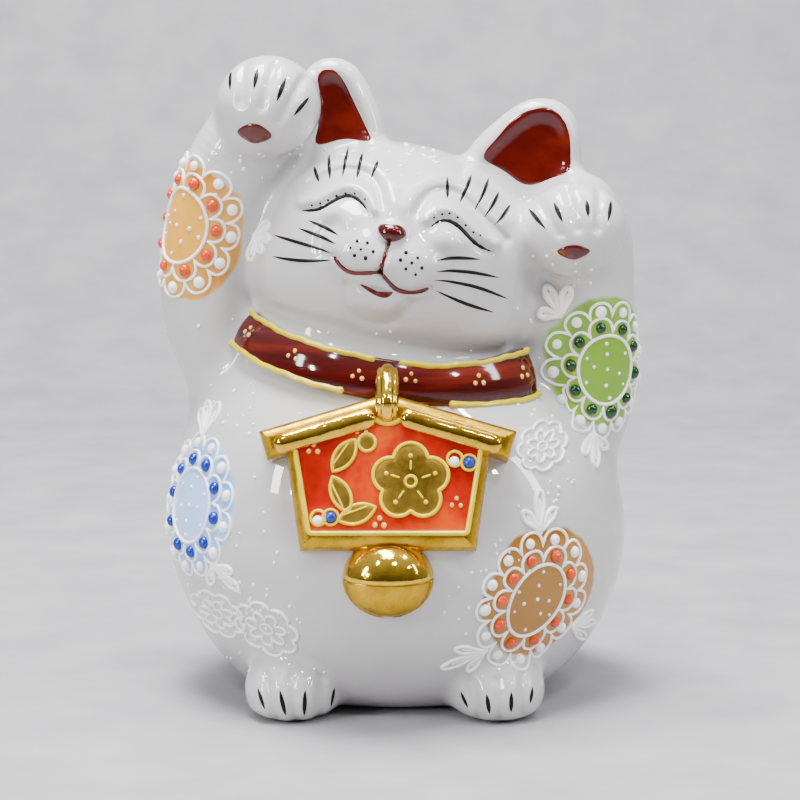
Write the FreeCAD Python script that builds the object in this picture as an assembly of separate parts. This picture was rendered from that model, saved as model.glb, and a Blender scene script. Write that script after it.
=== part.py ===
"""Beckoning cat figurine in glazed porcelain, with both paws raised and a votive plaque on its chest.

The cat is built as a pottery builds it: hollow slip-cast torso and head, cast arms with their paws,
ears, hind feet and tail luted on, a moulded collar, a plaque with a roof, a strap loop and a bell,
and raised enamel beads on top of the glaze. Right and left are the cat's own.

Frame: millimetres, +Z up, the cat faces -Y, origin on the middle of the flat base.
"""
import FreeCAD
import Part
import math
import os

os.makedirs("parts", exist_ok=True)
V = FreeCAD.Vector
Rotation = FreeCAD.Rotation
Placement = FreeCAD.Placement

# ---------------------------------------------------------------- driving dimensions
SECTION_POINTS = 20          # points on each oval section
BIG = 400.0                  # half-space size

# (height, middle in x, half width, depth in front, depth behind) of the torso
TORSO = [
    (0, 0, 46, 34, 40), (6, 0, 56, 46, 50), (15, 0, 64, 54.5, 57), (28, 0, 71.5, 62, 63.5),
    (42, 0, 76, 66, 66), (55, 0, 77, 67, 66), (69, 0, 75, 65.5, 64), (83, -1, 70.5, 61.5, 60),
    (97, -4, 61.5, 54, 55), (110, -7, 50, 45, 49), (122, -8, 43, 40, 43), (132, -8, 37, 36, 38),
]
TORSO_CAVITY = [
    (5, 0, 44, 35, 39), (14, 0, 57, 48, 50), (28, 0, 66, 57, 58), (48, 0, 71.5, 61.5, 61),
    (69, 0, 70, 60.5, 59), (90, -2, 60.5, 52.5, 53), (103, -5, 48, 42, 45), (112, -6, 39, 33, 35),
    (119, -6, 32, 27, 28), (128, -6, 32, 27, 28),
]
# the same along the head's own axis, from its centre
HEAD_CENTRE = V(2, -6, 145)
HEAD_TILT = 12.0             # degrees, towards the cat's left
HEAD = [
    (-36, 0, 32, 25, 40), (-28, 0, 41, 33.5, 46), (-18, 0, 48, 41, 49.5), (-6, 0, 48.5, 44, 50.5),
    (6, 0, 46.5, 44, 49.5), (16, 0, 42.5, 41, 46), (25, 0, 34.5, 34.5, 38.5), (32, 0, 23, 23, 26),
    (36.5, 0, 9, 9, 11),
]
HEAD_CAVITY = [
    (-32, 0, 32, 25, 33), (-18, 0, 43, 36, 43.5), (-6, 0, 43.5, 39, 45), (6, 0, 41.5, 39, 44),
    (16, 0, 37.5, 36, 40), (24, 0, 29.5, 29.5, 33), (29, 0, 20, 20, 22), (32, 0, 8, 8, 9),
]
NECK_POINT = V(0, 0, 118)    # the head is luted to the torso on this plane
NECK_NORMAL = V(0.153, -0.128, 1)

VENT_RADIUS = 6.0            # kiln vent hole through the base
VENT_Y = 24.0
BASE_WALL = 5.0

# (height, x, y, radius) up each arm, and (x, y, z, half width, half depth, half height) of its paw
RIGHT_ARM = [
    (86, -48, -1, 9), (95, -51, -2, 14), (107, -54, -3, 15.2), (120, -59.5, -4, 15.2), (137, -62, -5, 15.2),
    (153, -60.2, -6, 15), (168, -56.5, -8, 14.6), (181, -50.5, -10, 13.8), (192, -45.5, -12, 11.5),
]
RIGHT_PAW = (-40.4, -18, 194, 16.8, 16, 16.5)
LEFT_ARM = [
    (72, 57, -1, 8), (81, 60, -2, 13), (91, 63, -3, 15), (102, 65.2, -4, 15.8), (115, 65.8, -5, 16),
    (130, 64.6, -6, 15.6), (143, 63.8, -8, 15.3), (154, 62.3, -11, 14.4), (161, 60, -14, 11.5),
]
LEFT_PAW = (57.8, -21, 155, 16.8, 15.5, 16)
ARM_WALL = 4.5

FOOT_X = 33.0
FOOT_CENTRE_Y = -46.0
FOOT_CENTRE_Z = 7.0
FOOT_HALF = (15.5, 20.0, 14.5)
TAIL_CENTRE = V(12, 62, 22)
TAIL_HALF = (13.0, 11.0, 17.0)

# ear outline beside the head's axis and above its centre, for the cat's left ear
EAR_OUTLINE = [
    (16, 22), (14.5, 33), (19.5, 43), (25.5, 52.5), (31.5, 57.3), (37.5, 57.8), (43.5, 54),
    (48, 46), (50.5, 36), (50, 24), (33, 19),
]
EAR_MIDDLE = (33.0, 33.0)    # the outline shrinks towards this point
EAR_FRONT_Y = -6.0
EAR_LAYERS = [(0, 0.94), (2.5, 1.0), (7, 0.93), (11.5, 0.66)]   # (depth behind the front, scale)
LINING_SCALE = 0.8
LINING_POCKET = 2.0
LINING_THICK = 0.8

# collar: a band around the neck plane
COLLAR_HALF_X = 49.0
COLLAR_HALF_Y = 47.5
COLLAR_X = -1.5
COLLAR_HEIGHT = 11.5
COLLAR_THICK = 7.0
COLLAR_CROWN = 0.8           # how far the band's outer face bulges
COLLAR_SLOPE = 24.0          # degrees that the band leans in at its top
PIPING_WIDTH = 1.7           # the flat at the band's corner, both ways
PIPING_HEIGHT = 1.1
PIPING_FROM_X = -46.0
PIPING_TO_X = 43.0

# plaque frame: u to the right, v up the board, w out of it
PLAQUE_ORIGIN = V(-2, -72, 59)
PLAQUE_LEAN = 13.0
BOARD_BOTTOM = 27.0          # half widths
BOARD_TOP = 32.0
BOARD_SHOULDER = 34.0        # heights up the board
BOARD_APEX = 44.5
BOARD_DEPTH = 30.0
ROOF_APEX = 50.0
ROOF_SLOPE = 16.5
ROOF_EAVE = 40.0
ROOF_THICK = 9.5
ROOF_PROUD = 1.0
ROOF_BAR_RADIUS = 2.6
ROOF_BAR_FROM = 4.5
ROOF_BAR_TO = 36.5
PANEL = [(-24.5, 6.5), (24.5, 6.5), (29.0, 34.5), (4.5, 42.3), (-4.5, 42.3), (-29.0, 34.5)]
PANEL_THICK = 0.8
BORDER_WIDTH = 1.5
BORDER_THICK = 1.4
EMBLEM_THICK = 0.7
BLOSSOM_CENTRE = (7.0, 22.5)
BLOSSOM_PETALS = 5
PETAL_RADIUS = 5.3
PETAL_OFFSET = 6.6
LEAVES = [(-13.5, 30.5, 55), (-14.5, 18.5, 115), (-9.5, 12.5, 20)]   # (u, v, direction in degrees)
LEAF_LENGTH = 12.0
LEAF_WIDTH = 5.6
BUD = (-6.5, 34.5, 2.6)

LOOP_CENTRE = V(-2, -51.5, 108.3)
LOOP_RADIUS = 6.2
LOOP_WIRE = 3.8
BELL_CENTRE = V(-2, -66, 50)
BELL_UPPER = (13.9, 12.5, 11.4)
BELL_LOWER = (13.4, 9.5, 11.4)

BEAD_RADIUS = 1.65
PEARL_RADIUS = 1.6
DOT_RADIUS = 0.75


# ---------------------------------------------------------------- helpers
def closed_curve(points):
    """Smooth closed wire through the points."""
    curve = Part.BSplineCurve()
    curve.interpolate(Points=points, PeriodicFlag=True)
    return Part.Wire(curve.toShape())


def oval(x, y, z, half_width, front, behind):
    """Horizontal closed wire, an ellipse of one depth in front and another behind."""
    points = []
    for i in range(SECTION_POINTS):
        t = 2 * math.pi * i / SECTION_POINTS
        depth = behind if math.sin(t) > 0 else front
        points.append(V(x + half_width * math.cos(t), y + depth * math.sin(t), z))
    return closed_curve(points)


def loft(wires):
    solid = Part.makeLoft(wires, True, False)
    if solid.Volume < 0:
        solid.reverse()
    return solid


def ovals(sections):
    return loft([oval(x, 0, z, half_width, front, behind) for z, x, half_width, front, behind in sections])


def ellipsoid(centre, half):
    """Ellipsoid from a sphere of its mean radius."""
    mean = sum(half) / 3
    matrix = FreeCAD.Matrix()
    matrix.scale(half[0] / mean, half[1] / mean, half[2] / mean)
    shape = Part.makeSphere(mean).transformGeometry(matrix)
    shape.translate(centre)
    return shape


def half_space(point, normal):
    """Large block on the side of the plane that the normal points to."""
    block = Part.makeBox(BIG, BIG, BIG, V(-BIG / 2, -BIG / 2, 0))
    block.Placement = Placement(point, Rotation(V(0, 0, 1), normal))
    return block


def in_head(shape):
    shape.Placement = Placement(HEAD_CENTRE, Rotation(V(0, 1, 0), HEAD_TILT)).multiply(shape.Placement)
    return shape.copy()


def less(shape, *tools):
    """The shape with each tool cut from it, so that the two meet face to face."""
    for tool in tools:
        shape = shape.cut(tool)
    return shape


def biggest(shape):
    return max(shape.Solids, key=lambda s: s.Volume)


def export(name, shape):
    solids = [s for s in shape.Solids if s.Volume > 0.05]
    result = solids[0] if len(solids) == 1 else Part.makeCompound(solids)
    result.exportStep("parts/%s.step" % name)
    print("%-32s solids %3d  volume %10.1f  valid %s" % (name, len(solids), result.Volume, result.isValid()))


# ---------------------------------------------------------------- outer shapes of the castings
torso_outer = ovals(TORSO)
head_outer = in_head(ovals(HEAD))


def arm_loft(stations, shrink=0.0):
    return loft([oval(x, y, z, r - shrink, r - shrink, r - shrink) for z, x, y, r in stations])


def arm_outer(stations, paw):
    return arm_loft(stations).fuse(ellipsoid(V(*paw[:3]), paw[3:]))


right_arm_loft = arm_loft(RIGHT_ARM)
left_arm_loft = arm_loft(LEFT_ARM)
right_arm_outer = arm_outer(RIGHT_ARM, RIGHT_PAW)
left_arm_outer = arm_outer(LEFT_ARM, LEFT_PAW)

# ---------------------------------------------------------------- hollow torso and head
above_neck = half_space(NECK_POINT, NECK_NORMAL)
torso_cavity = ovals(TORSO_CAVITY)
head_cavity = in_head(ovals(HEAD_CAVITY))
right_arm_cavity = arm_loft(RIGHT_ARM[:-1], ARM_WALL)
left_arm_cavity = arm_loft(LEFT_ARM[:-1], ARM_WALL)
vent = Part.makeCylinder(VENT_RADIUS, 3 * BASE_WALL, V(0, VENT_Y, -BASE_WALL))

torso = less(torso_outer, above_neck, torso_cavity, head_cavity, vent, right_arm_cavity, left_arm_cavity)
head = head_outer.common(above_neck)
head = less(head, head_cavity, torso_cavity)
export("torso_casting", biggest(torso))
export("head_casting", biggest(head))
right_arm = less(right_arm_outer, torso_outer, head_outer, right_arm_cavity)
left_arm = less(left_arm_outer, torso_outer, head_outer, left_arm_cavity)
export("right_arm_casting", biggest(right_arm))
export("left_arm_casting", biggest(left_arm))


# ---------------------------------------------------------------- ears and their enamel linings
def scaled_outline(points, middle, scale, y):
    return closed_curve([
        V(middle[0] + (x - middle[0]) * scale, y, middle[1] + (z - middle[1]) * scale)
        for x, z in points
    ])


def ear(side, paw_arm, name):
    """side is 1 for the cat's left ear and -1 for its right."""
    outline = [(side * x, z) for x, z in EAR_OUTLINE]
    middle = (side * EAR_MIDDLE[0], EAR_MIDDLE[1])
    wires = [scaled_outline(outline, middle, scale, EAR_FRONT_Y + depth) for depth, scale in EAR_LAYERS]
    shell = loft(wires)
    inner = Part.Face(scaled_outline(outline, middle, LINING_SCALE, EAR_FRONT_Y - 1))
    pocket = inner.extrude(V(0, LINING_POCKET + 1, 0))
    floor = inner.copy()
    floor.translate(V(0, LINING_POCKET + 1 - LINING_THICK, 0))
    lining = floor.extrude(V(0, LINING_THICK, 0))
    shell = in_head(shell.cut(pocket))
    lining = in_head(lining)
    export(name, biggest(less(shell, head_outer, paw_arm)))
    export(name + "_lining", biggest(less(lining, head_outer, paw_arm)))


ear(-1, right_arm_outer, "right_ear")
ear(1, left_arm_outer, "left_ear")

# ---------------------------------------------------------------- feet and tail
above_floor = half_space(V(0, 0, 0), V(0, 0, 1))
for side, name in ((-1, "right_foot"), (1, "left_foot")):
    foot = ellipsoid(V(side * FOOT_X, FOOT_CENTRE_Y, FOOT_CENTRE_Z), FOOT_HALF)
    export(name, biggest(foot.common(above_floor).cut(torso_outer)))
tail = ellipsoid(TAIL_CENTRE, TAIL_HALF)
export("tail", biggest(tail.cut(torso_outer)))


# ---------------------------------------------------------------- collar with its piping
def band_point(along, across):
    """Point of the ring's section: along the leaning band's height and across its thickness."""
    lean = math.radians(COLLAR_SLOPE)
    out = across * math.cos(lean) - along * math.sin(lean)
    up = across * math.sin(lean) + along * math.cos(lean)
    return V(COLLAR_HALF_Y + out, 0, up)


def collar_ring(edges):
    """Solid swept by a closed section round the collar's oval, lying on the neck plane."""
    ring = Part.Face(Part.Wire([e.toShape() for e in edges])).revolve(V(0, 0, 0), V(0, 0, 1), 360)
    matrix = FreeCAD.Matrix()
    matrix.scale(COLLAR_HALF_X / COLLAR_HALF_Y, 1, 1)
    ring = ring.transformGeometry(matrix)
    if ring.ShapeType != "Solid":
        ring = Part.Solid(ring.Shells[0])
    if ring.Volume < 0:
        ring.reverse()
    ring.Placement = Placement(NECK_POINT + V(COLLAR_X, 0, 0), Rotation(V(0, 0, 1), NECK_NORMAL))
    return ring.copy()


half_height = COLLAR_HEIGHT / 2
half_thick = COLLAR_THICK / 2
inner_top = band_point(half_height, -half_thick)
inner_bottom = band_point(-half_height, -half_thick)
# the band's outer corners are flats that the two lines of piping sit on
top_flat = (band_point(half_height, half_thick - PIPING_WIDTH),
            band_point(half_height - PIPING_WIDTH, half_thick))
bottom_flat = (band_point(PIPING_WIDTH - half_height, half_thick),
               band_point(-half_height, half_thick - PIPING_WIDTH))
band = collar_ring([
    Part.LineSegment(inner_bottom, inner_top),
    Part.LineSegment(inner_top, top_flat[0]),
    Part.LineSegment(*top_flat),
    Part.Arc(top_flat[1], band_point(0, half_thick + COLLAR_CROWN), bottom_flat[0]),
    Part.LineSegment(*bottom_flat),
    Part.LineSegment(bottom_flat[1], inner_bottom),
])


def piping(flat):
    """Half-round line of enamel on one flat of the band."""
    middle = (flat[0] + flat[1]) / 2
    across = (flat[1] - flat[0]).cross(V(0, 1, 0)).normalize()
    away = across if across.dot(middle - band_point(0, 0)) > 0 else -across
    return collar_ring([Part.Arc(flat[0], middle + away * PIPING_HEIGHT, flat[1]),
                        Part.LineSegment(flat[1], flat[0])])


body = (torso_outer, head_outer, right_arm_outer, left_arm_outer)
loop = Part.makeTorus(LOOP_RADIUS, LOOP_WIRE, LOOP_CENTRE, V(1, 0, 0))
# the piping stops short of the arms and breaks at the strap loop
between_arms = Part.makeBox(PIPING_TO_X - PIPING_FROM_X, BIG, BIG, V(PIPING_FROM_X, -BIG / 2, 0))
loop_gap = Part.makeBox(2 * LOOP_WIRE + 1, BIG, BIG, V(LOOP_CENTRE.x - LOOP_WIRE - 0.5, -BIG, 0))
export("collar_band", less(band, *body))
for flat, name in ((top_flat, "collar_upper_piping"), (bottom_flat, "collar_lower_piping")):
    export(name, less(piping(flat).common(between_arms), loop_gap, torso_outer, head_outer))

# ---------------------------------------------------------------- plaque
plaque_place = Placement(PLAQUE_ORIGIN, Rotation(V(1, 0, 0), 90 - PLAQUE_LEAN))


def on_plaque(shape):
    shape.Placement = plaque_place.multiply(shape.Placement)
    return shape.copy()


def prism(points, w_from, w_to):
    """Straight-sided block of a (u, v) outline."""
    corners = [V(u, v, w_from) for u, v in points]
    return Part.Face(Part.makePolygon(corners + corners[:1])).extrude(V(0, 0, w_to - w_from))


def mirrored(points):
    """An outline's right half, from bottom to top, with its mirror image added."""
    return points + [(-u, v) for u, v in reversed(points) if u]


board_outline = mirrored([(BOARD_BOTTOM, 0), (BOARD_TOP, BOARD_SHOULDER), (0, BOARD_APEX)])
board = prism(board_outline, -BOARD_DEPTH, 0)
front_edges = [e for e in board.Edges if all(abs(v.Z) < 1e-6 for v in e.Vertexes)]
board = board.makeChamfer(1.0, front_edges)
panel = prism(PANEL, 0, PANEL_THICK)
inset = Part.Wire(Part.makePolygon([V(u, v, 0) for u, v in PANEL + PANEL[:1]])).makeOffset2D(-BORDER_WIDTH)
border = prism(PANEL, PANEL_THICK, BORDER_THICK).cut(Part.Face(inset).extrude(V(0, 0, 5)))

slope = math.radians(ROOF_SLOPE)
fall = math.tan(slope)
eave_in = ROOF_EAVE - ROOF_THICK * math.sin(slope)
eave_low = ROOF_APEX - ROOF_EAVE * fall - ROOF_THICK * math.cos(slope)
roof_outline = mirrored([
    (eave_in, eave_low), (ROOF_EAVE, ROOF_APEX - ROOF_EAVE * fall), (0, ROOF_APEX),
])[:5] + [(0, ROOF_APEX - ROOF_THICK / math.cos(slope))]
roof = less(prism(roof_outline, -BOARD_DEPTH, ROOF_PROUD), board, prism(PANEL, -1, 5))


def roof_bar(side):
    """Half-round bar along one slope of the roof."""
    middle = ROOF_APEX - 0.6 - ROOF_BAR_RADIUS / math.cos(slope)
    start = V(side * ROOF_BAR_FROM, middle - ROOF_BAR_FROM * fall, ROOF_PROUD)
    end = V(side * ROOF_BAR_TO, middle - ROOF_BAR_TO * fall, ROOF_PROUD)
    bar = Part.makeCylinder(ROOF_BAR_RADIUS, (end - start).Length, start, end - start)
    return bar.common(half_space(V(0, 0, ROOF_PROUD), V(0, 0, 1)))


def leaf(u, v, direction):
    """Pointed leaf of two arcs."""
    turn = math.radians(direction)
    along = V(math.cos(turn), math.sin(turn), 0)
    across = V(-math.sin(turn), math.cos(turn), 0)
    middle = V(u, v, PANEL_THICK)
    tips = [middle - along * (LEAF_LENGTH / 2), middle + along * (LEAF_LENGTH / 2)]
    sides = [middle + across * (LEAF_WIDTH / 2), middle - across * (LEAF_WIDTH / 2)]
    arcs = [Part.Arc(tips[0], sides[0], tips[1]), Part.Arc(tips[1], sides[1], tips[0])]
    return Part.Face(Part.Wire([a.toShape() for a in arcs])).extrude(V(0, 0, EMBLEM_THICK))


def blossom():
    """Five round petals round a middle, as one plate."""
    def disc(radius, u, v):
        return Part.makeCylinder(radius, EMBLEM_THICK, V(u, v, PANEL_THICK))
    plate = disc(PETAL_RADIUS, *BLOSSOM_CENTRE)
    for i in range(BLOSSOM_PETALS):
        turn = math.radians(90 + 360 * i / BLOSSOM_PETALS)
        plate = plate.fuse(disc(PETAL_RADIUS, BLOSSOM_CENTRE[0] + PETAL_OFFSET * math.cos(turn),
                                BLOSSOM_CENTRE[1] + PETAL_OFFSET * math.sin(turn)))
    return plate.removeSplitter()


bud = Part.makeCylinder(BUD[2], EMBLEM_THICK, V(BUD[0], BUD[1], PANEL_THICK))
board = on_plaque(board)
roof = on_plaque(roof)
bars = [on_plaque(roof_bar(side)) for side in (-1, 1)]
export("plaque_board", biggest(less(board, torso_outer, band, loop)))
export("plaque_roof", less(roof, torso_outer, head_outer, band, piping(top_flat), piping(bottom_flat), loop))
export("plaque_right_roof_bar", less(bars[0], loop, band))
export("plaque_left_roof_bar", less(bars[1], loop, band))
export("plaque_panel", on_plaque(panel).cut(loop))
export("plaque_border", on_plaque(border).cut(loop))
export("plaque_blossom", on_plaque(blossom()))
export("plaque_leaves", on_plaque(Part.makeCompound([leaf(*place) for place in LEAVES] + [bud])))
export("strap_loop", biggest(less(loop, band, torso_outer, head_outer)))


# ---------------------------------------------------------------- bell
upper_bell = ellipsoid(BELL_CENTRE, BELL_UPPER).common(half_space(BELL_CENTRE, V(0, 0, 1)))
lower_bell = ellipsoid(BELL_CENTRE, BELL_LOWER).common(half_space(BELL_CENTRE, V(0, 0, -1)))
export("bell_upper_half", biggest(less(upper_bell, torso_outer, board)))
export("bell_lower_half", biggest(less(lower_bell, torso_outer, board)))

# ---------------------------------------------------------------- nose and paw pads
NOSE = ((-1.6, -43.2, 12.0), (4.0, 3.0, 2.8))
nose = ellipsoid(V(*NOSE[0]), NOSE[1])
export("nose", biggest(in_head(nose).cut(head_outer)))
PADS = {
    "right_paw_pad": (V(-45.0, -31.5, 185.5), (5.4, 2.2, 2.9), right_arm_outer),
    "left_paw_pad": (V(57.5, -34.5, 147.5), (5.2, 2.2, 2.6), left_arm_outer),
}
for name, (centre, half, host) in PADS.items():
    export(name, biggest(ellipsoid(centre, half).cut(host)))


# ---------------------------------------------------------------- raised enamel beads
def outer_face(solid):
    return max(solid.Faces, key=lambda f: f.Area)


def on_surface(face, axis, azimuth, z):
    """(point, normal) where a level ray from the upright axis meets the face. Azimuth 0 faces -Y."""
    turn = math.radians(azimuth)
    outward = V(math.sin(turn), -math.cos(turn), 0)
    start = V(axis[0], axis[1], z)
    ray = Part.LineSegment(start, start + outward * 200)
    point = max(ray.intersect(face.Surface)[0], key=lambda p: V(p.X, p.Y, p.Z).distanceToPoint(start))
    point = V(point.X, point.Y, point.Z)
    u, v = face.Surface.parameter(point)
    normal = face.Surface.normal(u, v)
    return point, normal if normal.dot(outward) > 0 else -normal


def dome(point, normal, radius):
    return Part.makeSphere(radius, point, normal, 0, 90, 360)


def ring_of_domes(face, axis, middle, ring_radius, count, radius, turn=0.0):
    """Domes round a circle drawn on the surface; middle is (azimuth, height, radius of the host)."""
    azimuth, z, host_radius = middle
    domes = []
    for i in range(count):
        t = math.radians(turn + 360 * i / count)
        across = ring_radius * math.cos(t)
        point, normal = on_surface(face, axis, azimuth + math.degrees(across / host_radius),
                                   z + ring_radius * math.sin(t))
        domes.append(dome(point, normal, radius))
    return Part.makeCompound(domes)


# rosette name: (face, axis of the rays, (azimuth, height, host radius), inner ring, outer ring)
INNER_COUNT = 10
OUTER_COUNT = 13
torso_face = outer_face(torso_outer)
ROSETTES = {
    "right_arm": (outer_face(right_arm_loft), (-60, -6), (-44, 156, 15), 14.0, 18.8),
    "left_arm": (outer_face(left_arm_loft), (65, -6), (16, 109, 16), 13.2, 18.0),
    "right_flank": (torso_face, (0, 0), (-64, 66, 72), 14.0, 18.6),
    "left_thigh": (torso_face, (0, 0), (40, 40, 68), 13.4, 18.2),
    "back": (torso_face, (0, 0), (180, 78, 62), 14.0, 18.6),
}
for name, (face, axis, middle, inner, outer) in ROSETTES.items():
    export(name + "_colour_beads", ring_of_domes(face, axis, middle, inner, INNER_COUNT, BEAD_RADIUS, 18))
    export(name + "_pearls", ring_of_domes(face, axis, middle, outer, OUTER_COUNT, PEARL_RADIUS))

# beads on the plaque: pairs of a white and a blue bead, and trios of small dots
PAIRS = [(20.6, 28.6, 24.9, 28.4), (-21.4, 10.2, -17.8, 11.2)]
TRIOS = [(-23.0, 32.6), (-8.5, 39.0), (21.0, 16.0), (-3.0, 9.6)]
TRIO_SPREAD = 1.5


def on_panel(u, v, radius):
    return dome(V(u, v, PANEL_THICK), V(0, 0, 1), radius)


def trio(u, v):
    places = [(u + TRIO_SPREAD * math.cos(math.radians(a)), v + TRIO_SPREAD * math.sin(math.radians(a)))
              for a in (90, 210, 330)]
    return [on_panel(du, dv, DOT_RADIUS) for du, dv in places]


export("plaque_white_beads", on_plaque(Part.makeCompound([on_panel(p[0], p[1], BEAD_RADIUS) for p in PAIRS])))
export("plaque_blue_beads", on_plaque(Part.makeCompound([on_panel(p[2], p[3], BEAD_RADIUS) for p in PAIRS])))
export("plaque_dots", on_plaque(Part.makeCompound([d for place in TRIOS for d in trio(*place)])))
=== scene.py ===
"""Looks of the beckoning cat: glazed porcelain, painted lines, raised enamel and gold lustre.

The porcelain is one smooth field of blended forms, meshed by surface nets and parted into its castings.
Lines, beads and patches of enamel are laid on that same field. Lengths are in millimetres, in the CAD
frame (+Z up, the cat faces -Y, right and left are the cat's own), and become metres in make_piece.
"""
import math
from collections import Counter

import bpy
import numpy as np
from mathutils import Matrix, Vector
from mathutils.bvhtree import BVHTree


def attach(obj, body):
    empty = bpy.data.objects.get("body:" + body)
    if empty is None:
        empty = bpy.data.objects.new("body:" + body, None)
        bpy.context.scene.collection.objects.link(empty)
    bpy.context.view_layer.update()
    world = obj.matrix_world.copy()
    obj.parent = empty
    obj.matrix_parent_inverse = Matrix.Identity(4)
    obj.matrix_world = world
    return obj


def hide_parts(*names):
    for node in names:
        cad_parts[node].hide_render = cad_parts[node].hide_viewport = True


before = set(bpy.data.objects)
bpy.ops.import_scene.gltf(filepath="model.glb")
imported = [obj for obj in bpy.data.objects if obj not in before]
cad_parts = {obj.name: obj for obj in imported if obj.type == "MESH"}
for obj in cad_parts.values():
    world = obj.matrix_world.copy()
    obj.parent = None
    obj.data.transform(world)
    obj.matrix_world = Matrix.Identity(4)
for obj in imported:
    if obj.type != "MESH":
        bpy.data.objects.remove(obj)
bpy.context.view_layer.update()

METRE = 0.001
ROOT = "root"
NODES = set(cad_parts)
ISLAND_FACES = 400             # a patch of skin with fewer faces joins its neighbour's casting
# a casting's opening is closed by rings of points, at these parts of the way to its middle
CAP_ROWS = (0.04, 0.25, 0.5, 0.75, 0.95)
CAP_WALL = 1.0                 # how far the first ring steps in from the edge
CAP_DEPTH = 1.2                # how deep under the glaze the rings stay
RANDOM = np.random.default_rng(8)
GRID_STEP = 1.0
SKIN_BOX = ((-86, -76, -3), (90, 80, 217))

# ================================================================ numbers shared with the CAD model
# (height, middle in x, half width, depth in front, depth behind) of the torso
TORSO = np.array([
    (-6, 0.5, 34, 24, 30), (0, 0.8, 47.5, 36, 42), (6, 1, 55, 46, 50), (15, 1.3, 62.8, 54.5, 57),
    (28, 1.3, 70.3, 62, 63.5), (42, 0.8, 75.2, 66, 66), (55, 0.2, 76.8, 67, 66), (69, 0, 75, 65.5, 64),
    (83, -1, 70.5, 61.5, 60),
    (97, -4, 61.5, 54, 55), (110, -7, 50, 45, 49), (122, -8, 43, 40, 43), (134, -8, 37, 36, 38),
], float)
HEAD_CENTRE = np.array((1.0, -6.0, 145.0))
HEAD_TILT = math.radians(12)
# (centre, half sizes) in the head's own frame
SKULL = ((0.5, 3, 4.5), (46, 46.5, 32.5))
JOWLS = ((0, 2, -11), (48, 42, 25))
# (x, y, z, radius) up each arm
RIGHT_ARM = np.array([
    (-46, 0, 84, 9), (-51, -2, 95, 14), (-54.5, -3, 107, 15.2), (-59.5, -4, 120, 15.2), (-62, -5, 137, 15.2),
    (-60.2, -6, 153, 15), (-56.5, -8, 168, 14.6), (-50.5, -11, 181, 13.5), (-45.5, -13, 190, 12),
], float)
LEFT_ARM = np.array([
    (56, -1, 70, 8), (60, -2, 81, 13), (62.6, -3, 91, 14.8), (64.2, -4, 102, 15.5), (64.6, -5, 115, 15.6),
    (63.8, -6, 130, 15.4), (63.0, -8, 143, 15.4), (62.0, -10, 154, 14.4), (60.5, -12, 160, 12.5),
], float)
RIGHT_PAW = ((-40.4, -19, 194.5), (16.8, 15.5, 16))
LEFT_PAW = ((57.8, -21, 155), (16.8, 15.5, 15.6))
# (centre, half sizes) of the left foot; the right foot is its mirror
FOOT = ((33.0, -40.5, 8.5), (15.4, 17.5, 14))
# ear outlines in the head's own (right, up)
RIGHT_EAR = [(-40.8, 32), (-41.6, 40), (-41.6, 47.3), (-40.3, 52.5), (-38.2, 55.4), (-35.6, 57),
             (-32.4, 57.7), (-28.7, 57.2), (-24.7, 54.6), (-20.4, 49.6), (-17.2, 45), (-14.8, 39.8),
             (-13.6, 34), (-16, 22), (-28, 16), (-39, 20)]
LEFT_EAR = [(16.2, 24), (15.4, 33), (18.1, 41.6), (23.4, 49.4), (27.7, 54.5), (31.7, 57.6), (36.3, 59.1),
            (41.2, 58.8), (45.2, 56.4), (48.2, 52), (50, 46.2), (51.3, 39), (51, 28), (44, 19), (30, 16)]
EAR_EDGE = 1.6
EAR_MIDDLE_Y = -1.0
EAR_THICK = 6.2                # half thickness, 30 mm above the middle of the head
EAR_TAPER = 0.05
EAR_HOLLOW = 2.0
NECK_POINT = np.array((-1.5, 0.0, 118.0))
NECK_NORMAL = np.array((0.150, -0.190, 1.0)) / np.linalg.norm((0.150, -0.190, 1.0))
COLLAR_HALF = (49.0, 47.5)
NECK_TURN = np.array(Vector((0, 0, 1)).rotation_difference(Vector(NECK_NORMAL)).to_matrix())
# disc of porcelain inside the collar: set in from its ring, and half as thick as this
NECK_INSET = 1.5
NECK_HALF = 4.5


# ================================================================ fields of distance, negative inside
def smooth_min(a, b, k):
    h = np.maximum(k - np.abs(a - b), 0) / k
    return np.minimum(a, b) - h * h * k / 4


def smooth_max(a, b, k):
    return -smooth_min(-a, -b, k)


def step_up(value, low, high):
    t = np.clip((value - low) / (high - low), 0, 1)
    return t * t * (3 - 2 * t)


def ellipsoid(p, centre, half):
    q = (p - np.array(centre)) / np.array(half)
    k0 = np.sqrt((q * q).sum(-1))
    k1 = np.sqrt(((q / np.array(half)) ** 2).sum(-1))
    return k0 * (k0 - 1) / np.maximum(k1, 1e-6)


def limb(p, stations):
    """Tube through the stations, its radius changing evenly between them."""
    result = None
    for a, b in zip(stations[:-1], stations[1:]):
        along = b[:3] - a[:3]
        t = np.clip(((p - a[:3]) @ along) / (along @ along), 0, 1)
        gap = p - a[:3] - t[:, None] * along
        distance = np.sqrt((gap * gap).sum(-1)) - (a[3] + t * (b[3] - a[3]))
        result = distance if result is None else np.minimum(result, distance)
    return result


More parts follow.
